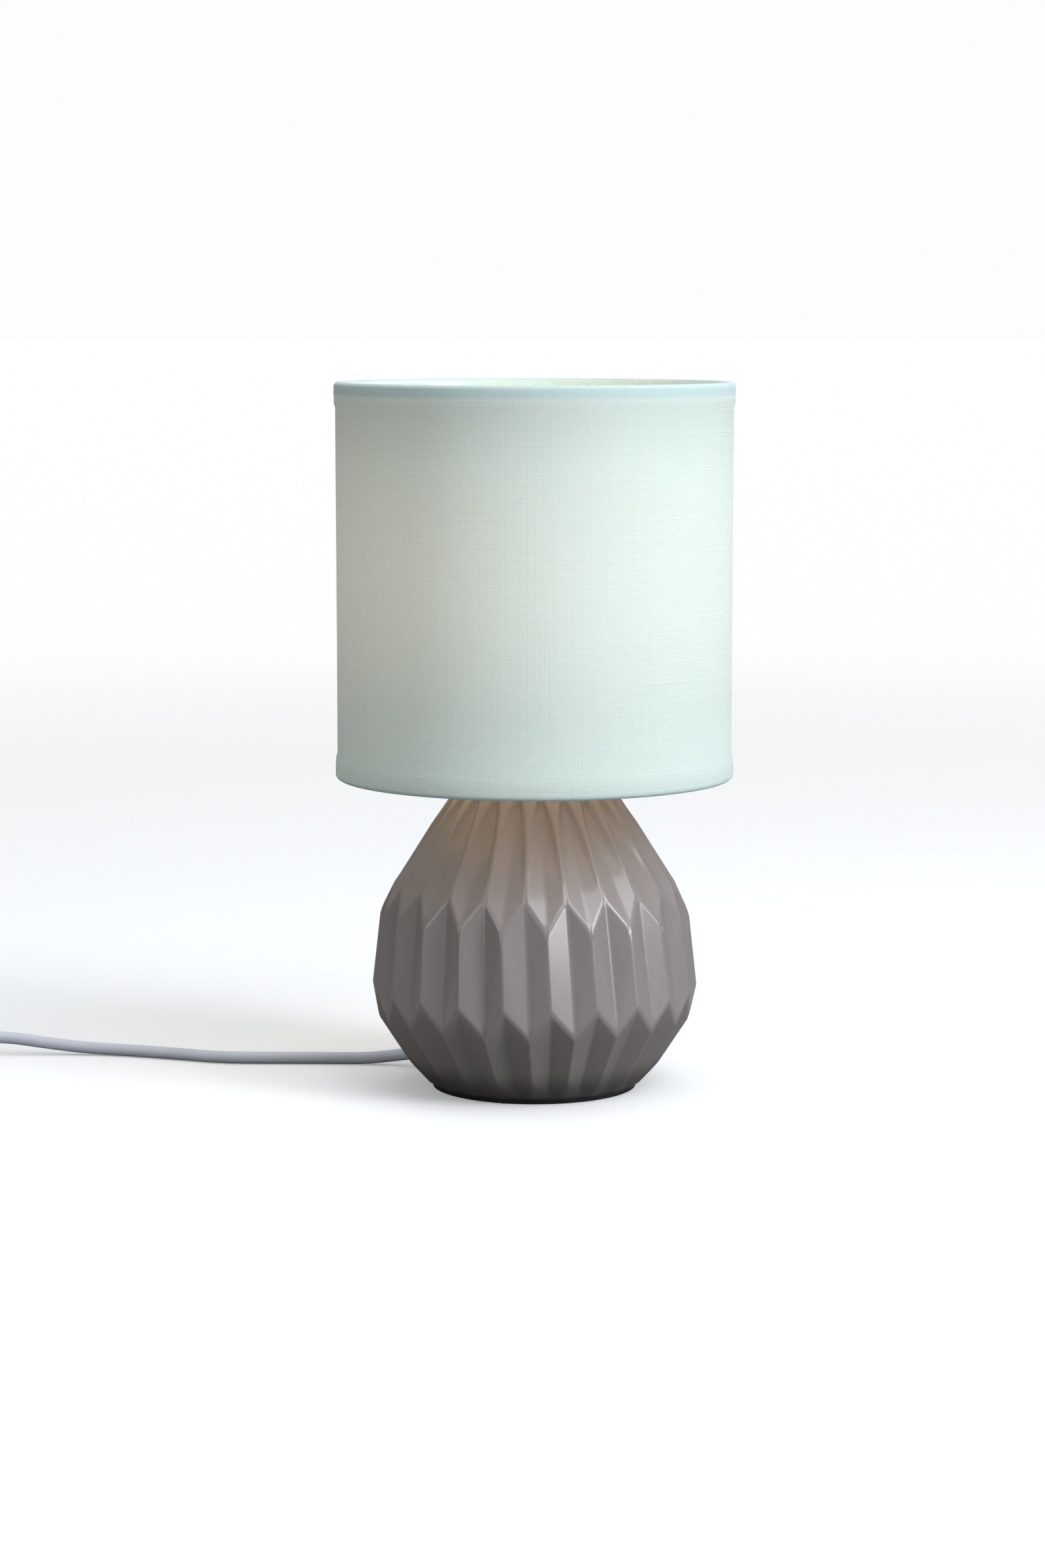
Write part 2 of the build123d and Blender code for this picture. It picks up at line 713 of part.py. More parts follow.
tilt = radians(rocker_tilt)
rocker_plane = Plane(
    origin=(switch_x, switch_y, pivot_height), x_dir=(cos(tilt), 0, -sin(tilt)), z_dir=(0, -1, 0)
)
rocker_reach = rocker_length / 2
with BuildPart() as switch_rocker:
    with BuildSketch(rocker_plane):
        with BuildLine():
            Polyline(
                (-rocker_reach, -1.0),
                (0, -2.6),
                (rocker_reach, -1.0),
                (rocker_reach, rocker_height),
                (0, rocker_height - rocker_dip),
                (-rocker_reach, rocker_height),
                close=True,
            )
        make_face()
        Circle(rocker_reach, mode=Mode.INTERSECT)
        Circle(pivot_diameter / 2, mode=Mode.SUBTRACT)
    extrude(amount=rocker_width / 2, both=True)
finish_part(switch_rocker, "switch_rocker")

with BuildPart() as switch_rocker_pin:
    with BuildSketch(rocker_plane):
        Circle(pivot_diameter / 2)
    extrude(amount=window_width / 2 + rib_width, both=True)
finish_part(switch_rocker_pin, "switch_rocker_pin")

with BuildPart() as switch_screws:
    with BuildSketch(switch_plane.offset(0.2)):
        with Locations(screw_places):
            Circle(screw_head_radius)
    extrude(amount=screw_head_height - 0.2)
    with BuildSketch(switch_plane.offset(screw_head_height)):
        with Locations(screw_places):
            Circle(screw_radius)
    extrude(amount=switch_split + 5 - screw_head_height)
finish_part(switch_screws, "switch_screws")

terminal_block = (6.0, 6.0, 7.0)
terminal_spots = [(-15, 3.6), (15, 3.6)]
with BuildPart() as switch_terminals:
    with BuildSketch(switch_plane.offset(switch_wall)):
        with Locations(terminal_spots):
            Rectangle(terminal_block[0], terminal_block[1])
    extrude(amount=terminal_block[2])
finish_part(switch_terminals, "switch_terminals")

lead_reach = switch_length / 2 - lead_seat
block_end = terminal_spots[1][0] + terminal_block[0] / 2
with BuildPart() as switch_wires:
    with BuildSketch(cord_level.offset(-lead_seat)):
        with Locations((-core_spread, 0)):
            Circle(core_diameter / 2)
    extrude(amount=-2 * lead_reach)
    for level in (cord_level, cord_level_back):
        with BuildSketch(level.offset(-lead_seat)):
            with Locations((core_spread, 0)):
                Circle(core_diameter / 2)
        extrude(amount=block_end - lead_reach)
finish_part(switch_wires, "switch_wires")

with BuildPart() as switch_cord_bushes:
    for level in (cord_level, cord_level_back):
        with BuildSketch(level.offset(-switch_wall)):
            Circle(bush_diameter / 2)
        extrude(amount=switch_wall)
        with BuildSketch(level):
            Circle(bush_diameter / 2 + 0.9)
        extrude(amount=bush_length, taper=10)
        with BuildSketch(level.offset(-switch_wall)):
            Circle(cord_diameter / 2)
        extrude(amount=switch_wall + bush_length, mode=Mode.SUBTRACT)
finish_part(switch_cord_bushes, "switch_cord_bushes")

# ---- free lead: base to switch --------------------------------------------------------------
bend_margin = 7.4
first_route = [
    lead_in,
    lead_in + exit_direction * 10,
    Vector(-56, 39, 4.2),
    Vector(-69, 40.2, 2.5),
    Vector(-84, 40.8, 2.5),
    Vector(-104, 41.2, 2.5),
    Vector(-130, 41.6, 2.5),
    Vector(-150, 50, 2.5),
    Vector(-171, 57.5, 2.5),
    Vector(-190, 60.8, 2.9),
    Vector(-208, 61.8, 5.0),
    Vector(switch_front + bush_length + bend_margin, switch_y, switch_cord_height),
    Vector(switch_front - lead_seat, switch_y, switch_cord_height),
]
coil_plane = Plane(origin=(coil_x, coil_y, 0))
outer_turn = coil_mid_radius + cord_diameter
first_turn_height = coil_base + cord_diameter / 2
second_route = [
    Vector(switch_back + lead_seat, switch_y, switch_cord_height),
    Vector(switch_back - bush_length - bend_margin, switch_y, switch_cord_height),
    Vector(-332, 62.3, 5.0),
    Vector(coil_x + 2, coil_y + outer_turn, first_turn_height),
]
last_route = [
    Vector(coil_x - outer_turn - 0.2, coil_y - 11, 17.9),
    Vector(-383.3, 6.5, 15.4),
    Vector(-384.1, -5.5, 10.6),
    Vector(plug_x, relief_end + 10, plug_z),
    Vector(plug_x, relief_end, plug_z),
]
routes = {"lead_to_switch": first_route, "lead_to_coil": second_route, "lead_to_plug": last_route}
for name, route in routes.items():
    radii = route_radii(route)
    with BuildPart() as lead:
        with BuildLine() as lead_line:
            FilletPolyline(*route, radius=radii)
        with BuildSketch(lead_line.line ^ 0):
            Circle(cord_diameter / 2)
        sweep()
    finish_part(lead, name)
    report_tube(name, lead, lead_line.line, radii, cord_diameter)

# ---- coil and tie ------------------------------------------------------------------------------
coil_axis = Axis((coil_x, coil_y, 0), (0, 0, 1))
section_plane = Plane(
    origin=(coil_x, coil_y, 0),
    x_dir=(cos(radians(tie_angle)), sin(radians(tie_angle)), 0),
    z_dir=(sin(radians(tie_angle)), -cos(radians(tie_angle)), 0),
)
section_centre = (coil_mid_radius, coil_base + coil_height / 2)
with BuildPart() as lead_coil:
    with BuildSketch(section_plane):
        with Locations(section_centre):
            RectangleRounded(coil_width, coil_height, coil_corner)
    revolve(axis=coil_axis)
finish_part(lead_coil, "lead_coil")

with BuildPart() as coil_tie:
    with BuildSketch(section_plane):
        with Locations(section_centre):
            RectangleRounded(
                coil_width + 2 * tie_thickness, coil_height + 2 * tie_thickness, coil_corner + tie_thickness
            )
            RectangleRounded(coil_width, coil_height, coil_corner, mode=Mode.SUBTRACT)
    revolve(axis=coil_axis, revolution_arc=tie_sweep)
finish_part(coil_tie, "coil_tie")

# ---- plug ----------------------------------------------------------------------------------------
plug_half = plug_width / 2
plug_plan = Plane(origin=(plug_x, plug_face_y, 0), x_dir=(0, -1, 0), z_dir=(0, 0, 1))
with BuildPart() as plug_body:
    with BuildSketch(plug_plan):
        with BuildLine():
            Polyline(
                (0, -plug_half + 1.5),
                (0, plug_half - 1.5),
                (-3, plug_half),
                (-12, plug_half),
                (-plug_length, plug_tail_width / 2),
                (-plug_length, -plug_tail_width / 2),
                (-12, -plug_half),
                (-3, -plug_half),
                close=True,
            )
        make_face()
    extrude(amount=plug_thickness)
    plug_levels = plug_body.faces().group_by(Axis.Z)
    fillet(plug_levels[0].edges() + plug_levels[-1].edges(), 2.2)
    with BuildSketch(Plane(origin=(plug_x, plug_back, plug_z), z_dir=(0, 1, 0))):
        Circle(5.4)
    extrude(amount=plug_relief_length, taper=5)
    for groove in range(relief_grooves):
        depth = 2.4 + groove * 3.6
        with BuildSketch(Plane(origin=(plug_x, plug_back + depth, plug_z), z_dir=(0, 1, 0))):
            Circle(7)
            Circle(4.3 - groove * 0.32, mode=Mode.SUBTRACT)
        extrude(amount=1.4, mode=Mode.SUBTRACT)
finish_part(plug_body, "plug_body")

pin_places = [(-pin_spacing / 2, 0), (pin_spacing / 2, 0)]
pin_root = Plane(origin=(plug_x, plug_face_y, plug_z), x_dir=(1, 0, 0), z_dir=(0, -1, 0))
pin_core_radius = 1.4
with BuildPart() as plug_pins:
    with BuildSketch(pin_root):
        with Locations(pin_places):
            Circle(pin_core_radius)
    extrude(amount=pin_sleeve_length)
    with BuildSketch(pin_root.offset(pin_sleeve_length)):
        with Locations(pin_places):
            Circle(pin_diameter / 2)
    extrude(amount=pin_length - pin_sleeve_length)
    tip_edges = plug_pins.faces().sort_by(Axis.Y)[:2].edges()
    fillet(tip_edges, 1.2)
finish_part(plug_pins, "plug_pins")

with BuildPart() as plug_pin_sleeves:
    with BuildSketch(pin_root):
        with Locations(pin_places):
            Circle(pin_diameter / 2)
            Circle(pin_core_radius, mode=Mode.SUBTRACT)
    extrude(amount=pin_sleeve_length)
finish_part(plug_pin_sleeves, "plug_pin_sleeves")
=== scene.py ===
"""Table lamp with a pleated ceramic base and a linen drum shade, laid out as an add-on.

Run as a script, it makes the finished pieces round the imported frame, gives every piece its
material and sets the stage. Lengths are metres.
"""

import json
from math import atan2, cos, hypot, pi, radians, sin

import bmesh
import bpy
from bpy.props import FloatProperty, FloatVectorProperty, IntProperty, PointerProperty
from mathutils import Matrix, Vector, noise

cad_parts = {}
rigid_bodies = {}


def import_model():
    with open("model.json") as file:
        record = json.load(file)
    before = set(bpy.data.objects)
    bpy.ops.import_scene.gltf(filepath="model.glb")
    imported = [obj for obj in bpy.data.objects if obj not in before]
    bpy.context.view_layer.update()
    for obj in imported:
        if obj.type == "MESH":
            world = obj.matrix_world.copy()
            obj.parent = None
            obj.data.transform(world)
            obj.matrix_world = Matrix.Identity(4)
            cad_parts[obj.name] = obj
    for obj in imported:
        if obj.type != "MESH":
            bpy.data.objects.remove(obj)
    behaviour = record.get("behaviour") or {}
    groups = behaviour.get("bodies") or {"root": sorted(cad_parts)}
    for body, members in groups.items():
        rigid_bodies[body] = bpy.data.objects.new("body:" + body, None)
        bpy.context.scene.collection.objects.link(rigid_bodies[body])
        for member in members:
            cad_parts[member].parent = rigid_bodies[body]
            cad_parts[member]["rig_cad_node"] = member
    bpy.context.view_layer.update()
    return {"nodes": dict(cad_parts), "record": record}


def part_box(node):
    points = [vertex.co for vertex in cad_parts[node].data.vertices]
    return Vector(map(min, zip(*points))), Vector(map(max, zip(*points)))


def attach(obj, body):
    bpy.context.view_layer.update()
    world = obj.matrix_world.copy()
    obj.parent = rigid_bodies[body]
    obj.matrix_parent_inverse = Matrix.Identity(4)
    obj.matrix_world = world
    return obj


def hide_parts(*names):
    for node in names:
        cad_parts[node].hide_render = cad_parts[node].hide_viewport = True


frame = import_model()

bl_info = {
    "name": "Pleated Table Lamp",
    "version": (1, 0, 0),
    "blender": (4, 5, 0),
    "location": "3D Viewport > Sidebar > Lamp",
    "description": "Finishes a table lamp with a pleated ceramic base, a linen shade and a mains lead",
    "category": "Object",
}

SHADE_LOW, SHADE_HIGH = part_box("shade_fabric")
GLOBE_LOW, GLOBE_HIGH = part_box("bulb_globe")
CAP_LOW, CAP_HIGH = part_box("bulb_screw_cap")
COIL_LOW, COIL_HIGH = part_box("lead_coil")

# ---- the lead's routes, base to switch and switch to coil to plug -----------------------------
LEAD_IN = (-0.03725, 0.02767, 0.0065)
FIRST_ROUTE = [
    LEAD_IN,
    (-0.04527, 0.03363, 0.0065),
    (-0.056, 0.039, 0.0042),
    (-0.069, 0.0402, 0.0025),
    (-0.084, 0.0408, 0.0025),
    (-0.104, 0.0412, 0.0025),
    (-0.130, 0.0416, 0.0025),
    (-0.150, 0.050, 0.0025),
    (-0.171, 0.0575, 0.0025),
    (-0.190, 0.0608, 0.0029),
    (-0.208, 0.0618, 0.0050),
    (-0.2246, 0.062, 0.0075),
    (-0.241, 0.062, 0.0075),
]
SWITCH_TO_COIL = [
    (-0.299, 0.062, 0.0075),
    (-0.3154, 0.062, 0.0075),
    (-0.332, 0.0623, 0.0050),
]
COIL_TO_PLUG = [
    (-0.3827, 0.0185, 0.0179),
    (-0.3833, 0.0065, 0.0154),
    (-0.3841, -0.0055, 0.0106),
    (-0.3845, -0.0165, 0.0068),
    (-0.3845, -0.0265, 0.0068),
]
COIL_CENTRE = (COIL_LOW + COIL_HIGH) / 2
COIL_LAYERS = 4
COIL_TURNS_A_LAYER = 2.0625
COIL_POINTS_A_TURN = 16
COIL_OUTER = 0.0330
COIL_INNER = 0.0222
COIL_FIRST_HEIGHT = 0.0033


# ---- settings -----------------------------------------------------------------------------------
class CeramicSettings(bpy.types.PropertyGroup):
    """The glazed base."""

    glaze: FloatVectorProperty(
        name="Glaze", description="Colour of the glaze on the facets", subtype="COLOR", size=3,
        default=(0.245, 0.217, 0.206), min=0, max=1,
    )
    worn_glaze: FloatVectorProperty(
        name="Thin glaze", description="Colour where the glaze runs thin over a fold",
        subtype="COLOR", size=3,
        default=(0.37, 0.345, 0.335), min=0, max=1,
    )
    fold_rounding: FloatProperty(
        name="Fold rounding", description="How far each fold is rounded off", unit="LENGTH",
        default=0.0013, min=0.0002, max=0.002, precision=4,
    )
    fold_angle: FloatProperty(
        name="Least fold", description="Folds flatter than this stay sharp", subtype="ANGLE",
        default=radians(6), min=radians(2), max=radians(40),
    )


class ShadeSettings(bpy.types.PropertyGroup):
    """The linen shade."""

    linen: FloatVectorProperty(
        name="Linen", description="Colour of the cloth", subtype="COLOR", size=3,
        default=(0.63, 0.755, 0.70), min=0, max=1,
    )
    # Painted shade: the doubled cloth at the edges gets this darker colour where less of the bulb's light
    # comes through it.
    hem: FloatVectorProperty(
        name="Hem", description="Colour of the doubled cloth along the edges", subtype="COLOR", size=3,
        default=(0.50, 0.665, 0.675), min=0, max=1,
    )
    threads_round: IntProperty(
        name="Threads round", description="Upright threads counted once round the shade",
        default=832, min=100, max=2000,
    )
    thread_pitch: FloatProperty(
        name="Thread pitch", description="Distance between threads up the shade", unit="LENGTH",
        default=0.0006, min=0.0002, max=0.003, precision=4,
    )
    hem_height: FloatProperty(
        name="Hem height", description="Height of the doubled cloth at each edge", unit="LENGTH",
        default=0.009, min=0.004, max=0.02,
    )
    # Strength of the glow that is painted into the cloth as emission.
    glow: FloatProperty(
        name="Glow", description="How brightly the lit bulb shows through the cloth",
        default=0.20, min=0, max=4,
    )


class LeadSettings(bpy.types.PropertyGroup):
    """The mains lead, its switch and its plug."""

    sheath: FloatVectorProperty(
        name="Sheath", description="Colour of the lead's sheath", subtype="COLOR", size=3,
        default=(0.66, 0.69, 0.77), min=0, max=1,
    )
    plastic: FloatVectorProperty(
        name="Plastic", description="Colour of the switch and the plug", subtype="COLOR", size=3,
        default=(0.72, 0.73, 0.76), min=0, max=1,
    )
    diameter: FloatProperty(
        name="Diameter", description="Diameter of the lead", unit="LENGTH",
        default=0.005, min=0.003, max=0.008,
    )


class BulbSettings(bpy.types.PropertyGroup):
    """The bulb."""

    warmth: FloatVectorProperty(
        name="Light", description="Colour of the bulb's light", subtype="COLOR", size=3,
        default=(1.0, 0.62, 0.28), min=0, max=1,
    )
    brightness: FloatProperty(
        name="Brightness", description="How brightly the globe glows", default=9.0, min=0, max=100,
    )


class StageSettings(bpy.types.PropertyGroup):
    """Floor, lights and camera."""

    floor: FloatVectorProperty(
        name="Floor", description="Colour of the floor", subtype="COLOR", size=3,
        default=(0.93, 0.93, 0.93), min=0, max=1,
    )
    focal_length: FloatProperty(
        name="Focal length", description="Focal length of the lens", subtype="DISTANCE_CAMERA",
        default=87.19, min=20, max=300,
    )
    camera_place: FloatVectorProperty(
        name="Camera place", description="Where the camera stands", subtype="TRANSLATION", size=3,
        default=(-0.0048, -1.5215, 0.31268),
    )
    camera_pitch: FloatProperty(
        name="Camera pitch", description="How far the camera looks down", subtype="ANGLE", default=0.124,
    )


# ---- mesh helpers -------------------------------------------------------------------------------
def clear_selection():
    """Nothing is selected and nothing is active."""
    for thing in bpy.context.view_layer.objects:
        thing.select_set(False)
    bpy.context.view_layer.objects.active = None


def select_only(piece):
    """The piece is selected and active, and nothing else is."""
    clear_selection()
    piece.select_set(True)
    bpy.context.view_layer.objects.active = piece


def turned(name, outline, segments, closed=False):
    """A ring at the outline's first radius and height, extruded through its other points."""
    clear_selection()
    radius, height = outline[0]
    bpy.ops.mesh.primitive_circle_add(vertices=segments, radius=radius, location=(0, 0, 0))
    piece = bpy.context.object
    piece.name = name
    bpy.ops.object.mode_set(mode="EDIT")
    bpy.ops.mesh.select_all(action="SELECT")
    bpy.ops.transform.translate(value=(0, 0, height))
    for (radius, height), (next_radius, next_height) in zip(outline, outline[1:]):
        bpy.ops.mesh.extrude_region_move(TRANSFORM_OT_translate={"value": (0, 0, next_height - height)})
        if next_radius == 0:
            bpy.ops.mesh.merge(type="CENTER")
        else:
            share = next_radius / radius
            bpy.ops.transform.resize(value=(share, share, 1), center_override=(0, 0, next_height))
    bpy.ops.mesh.select_all(action="SELECT")
    if closed:
        bpy.ops.mesh.remove_doubles(threshold=1e-6)
    bpy.ops.mesh.normals_make_consistent(inside=False)
    bpy.ops.object.mode_set(mode="OBJECT")
    return piece


def smooth(piece, angle=radians(35)):
    """Shade a piece smooth, with edges sharper than the angle left crisp."""
    select_only(piece)
    bpy.ops.object.shade_smooth_by_angle(angle=angle)


def apply_modifier(piece, kind, **settings):
    """Add a modifier to a piece with these settings and apply it."""
    select_only(piece)
    modifier = piece.modifiers.new(kind.title(), kind)
    for name, value in settings.items():
        setattr(modifier, name, value)
    bpy.ops.object.modifier_apply(modifier=modifier.name)


def wear(piece, material):
    """The piece has this one material."""
    piece.data.materials.clear()
    piece.data.materials.append(material)


def settle(piece, body, slot, *nodes):
    """The piece rides on a body and stands for these nodes, which are hidden; the slot is not used."""
    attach(piece, body)
    if nodes:
        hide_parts(*nodes)


# ---- node helpers -------------------------------------------------------------------------------
class Wiring:
    """Adds and joins nodes in one tree."""

    def __init__(self, tree):
        self.tree = tree

    def put(self, socket, value):
        """Join a socket to another, or give it a value."""
        if isinstance(value, bpy.types.NodeSocket):
            self.tree.links.new(value, socket)
        elif value is not None:
            socket.default_value = value

    def node(self, kind, settings=None, **inputs):
        """A node with its settings and its inputs, whose names have _ for a space."""
        made = self.tree.nodes.new(kind)
        for name, value in (settings or {}).items():
            setattr(made, name, value)
        for name, value in inputs.items():
            self.put(made.inputs[name.replace("_", " ")], value)
        return made

    def math(self, operation, *values):
        """The result of a Math node."""
        made = self.tree.nodes.new("ShaderNodeMath")
        made.operation = operation
        for socket, value in zip(made.inputs, values):
            self.put(socket, value)
        return made.outputs[0]

    def times(self, first, second):
        """The product of two values."""
        return self.math("MULTIPLY", first, second)

    def mix(self, share, first, second):
        """A colour between two."""
        made = self.tree.nodes.new("ShaderNodeMix")
        made.data_type = "RGBA"
        self.put(made.inputs[0], share)
        self.put(made.inputs[6], first)
        self.put(made.inputs[7], second)
        return made.outputs[2]

    def fit(self, value, low, high, new_low=0.0, new_high=1.0, smooth_step=False):
        """A value carried from one range to another and kept in it."""
        made = self.node("ShaderNodeMapRange", Value=value)
        if smooth_step:
            made.interpolation_type = "SMOOTHSTEP"
        for name, end in (("From Min", low), ("From Max", high), ("To Min", new_low), ("To Max", new_high)):
            self.put(made.inputs[name], end)
        return made.outputs[0]

    def noise(self, vector, scale, detail=2.0, roughness=0.5):
        """A noise between 0 and 1."""
        made = self.node("ShaderNodeTexNoise", Vector=vector, Scale=scale, Detail=detail, Roughness=roughness)
        return made.outputs[0]

    def stretch(self, vector, scale):
        """Coordinates scaled along each axis."""
        return self.node("ShaderNodeMapping", Vector=vector, Scale=scale).outputs[0]


def shader_group(name, inputs, outputs, wire_up):
    """A node group, built once; wire_up gives its outputs from its inputs."""
    if name in bpy.data.node_groups:
        return bpy.data.node_groups[name]
    tree = bpy.data.node_groups.new(name, "ShaderNodeTree")
    for label, kind, default in inputs:
        socket = tree.interface.new_socket(label, in_out="INPUT", socket_type="NodeSocket" + kind)
        if default is not None:
            socket.default_value = default
    for label, kind in outputs:
        tree.interface.new_socket(label, in_out="OUTPUT", socket_type="NodeSocket" + kind)
    wiring = Wiring(tree)
    source = wiring.node("NodeGroupInput").outputs
    sink = wiring.node("NodeGroupOutput").inputs
    for label, value in wire_up(wiring, source).items():
        wiring.put(sink[label], value)
    return tree


def moulded_grain():
    """Fine spark-eroded grain of a moulding, with slow changes of tone."""

    def wire_up(wiring, source):
        fine = wiring.noise(source["Vector"], source["Scale"], 3.0, 0.6)
        slow = wiring.noise(source["Vector"], 45.0, 2.0)
        height = wiring.times(fine, source["Depth"])
        return {"Height": height, "Tone": slow, "Fine": fine}

    return shader_group(
        "Moulded grain",
        [("Vector", "Vector", None), ("Scale", "Float", 2500.0), ("Depth", "Float", 1.0)],
        [("Height", "Float"), ("Tone", "Float"), ("Fine", "Float")],
        wire_up,
    )


def settled_dust():
    """A thin layer of dust on what faces up, broken by noise."""

    def wire_up(wiring, source):
        up = wiring.node("ShaderNodeSeparateXYZ", Vector=source["Normal"]).outputs[2]
        facing = wiring.fit(up, 0.55, 1.0, smooth_step=True)
        patches = wiring.fit(wiring.noise(source["Vector"], 160.0, 4.0, 0.65), 0.35, 0.75)
        mask = wiring.times(wiring.times(facing, patches), source["Amount"])
        return {"Colour": wiring.mix(mask, source["Colour"], source["Dust"]), "Mask": mask}

    return shader_group(
        "Settled dust",
        [
            ("Vector", "Vector", None),
            ("Normal", "Vector", None),
            ("Colour", "Color", (0.5, 0.5, 0.5, 1)),
            ("Dust", "Color", (0.55, 0.52, 0.48, 1)),
            ("Amount", "Float", 0.3),
        ],
        [("Colour", "Color"), ("Mask", "Float")],
        wire_up,
    )


def turned_metal():
    """Fine rings left by turning or drawing, round the Z axis, with smudges."""

    def wire_up(wiring, source):
        rings = wiring.noise(wiring.stretch(source["Vector"], (60, 60, 5200)), 1.0, 3.0, 0.6)
        smudge = wiring.noise(source["Vector"], 210.0, 3.0)
        return {"Rings": rings, "Smudge": smudge}

    return shader_group(
        "Turned metal",
        [("Vector", "Vector", None)],
        [("Rings", "Float"), ("Smudge", "Float")],
        wire_up,
    )


def plain_weave():
    """A plain weave wrapped round the Z axis: thread heights, thread tone and slubs."""

    def wire_up(wiring, source):
        place = wiring.node("ShaderNodeSeparateXYZ", Vector=source["Vector"]).outputs
        turn = wiring.math("DIVIDE", wiring.math("ARCTAN2", place[1], place[0]), 2 * pi)
        across = wiring.times(turn, source["Threads round"])
        up = wiring.math("DIVIDE", place[2], source["Pitch"])
        warp = wiring.math("ABSOLUTE", wiring.math("SINE", wiring.times(across, pi)))
        weft = wiring.math("ABSOLUTE", wiring.math("SINE", wiring.times(up, pi)))
        over_up = wiring.math("ADD", up, wiring.math("FLOOR", across))
        over_across = wiring.math("ADD", across, wiring.math("FLOOR", up))
        warp_wave = wiring.math("COSINE", wiring.times(over_up, pi))
        weft_wave = wiring.math("COSINE", wiring.times(over_across, pi))
        warp_height = wiring.times(warp, wiring.fit(warp_wave, -1.0, 1.0, 0.25, 1.0))
        weft_height = wiring.times(weft, wiring.fit(weft_wave, -1.0, 1.0, 1.0, 0.25))
        height = wiring.math("MAXIMUM", warp_height, weft_height)
        level = wiring.noise(wiring.stretch(source["Vector"], (14, 14, 1500)), 1.0, 3.0, 0.7)
        upright = wiring.noise(wiring.stretch(source["Vector"], (1300, 1300, 16)), 1.0, 3.0, 0.7)
        slub = wiring.times(wiring.math("ADD", level, upright), 0.5)
        tone = wiring.noise(source["Vector"], 34.0, 3.0, 0.6)
        return {"Height": height, "Slub": slub, "Tone": tone}

    return shader_group(
        "Plain weave",
        [("Vector", "Vector", None), ("Threads round", "Float", 832.0), ("Pitch", "Float", 0.0006)],
        [("Height", "Float"), ("Slub", "Float"), ("Tone", "Float")],
        wire_up,
    )


class Finish:
    """A material with its Principled shader, its object coordinates and its wiring."""

    def __init__(self, name):
        self.material = bpy.data.materials.new(name)
        self.material.use_nodes = True
        self.wiring = Wiring(self.material.node_tree)
        self.shader = self.material.node_tree.nodes["Principled BSDF"]
        self.output = self.material.node_tree.nodes["Material Output"]
        self.place = self.wiring.node("ShaderNodeTexCoord").outputs["Object"]

    def set(self, **inputs):
        """Give the shader's inputs, whose names have _ for a space."""
        for name, value in inputs.items():
            self.wiring.put(self.shader.inputs[name.replace("_", " ")], value)

    def group(self, tree, **inputs):
        """The outputs of a shader group in this material."""
        made = self.wiring.node("ShaderNodeGroup", {"node_tree": tree}, **inputs)
        return made.outputs

    def bump(self, height, distance, strength=1.0):
        """Bump the surface by a height between 0 and 1, times a distance."""
        made = self.wiring.node("ShaderNodeBump", Height=height, Distance=distance, Strength=strength)
        self.set(Normal=made.outputs[0])

    def dusty(self, colour, amount):
        """The colour with dust where the surface faces up."""
        facing = self.wiring.node("ShaderNodeNewGeometry").outputs["Normal"]
        dust = self.group(settled_dust(), Vector=self.place, Normal=facing, Colour=colour, Amount=amount)
        return dust["Colour"]


def tint(colour, share):
    """An opaque colour, lighter or darker by a share."""
    return tuple(min(1.0, channel * share) for channel in colour) + (1.0,)


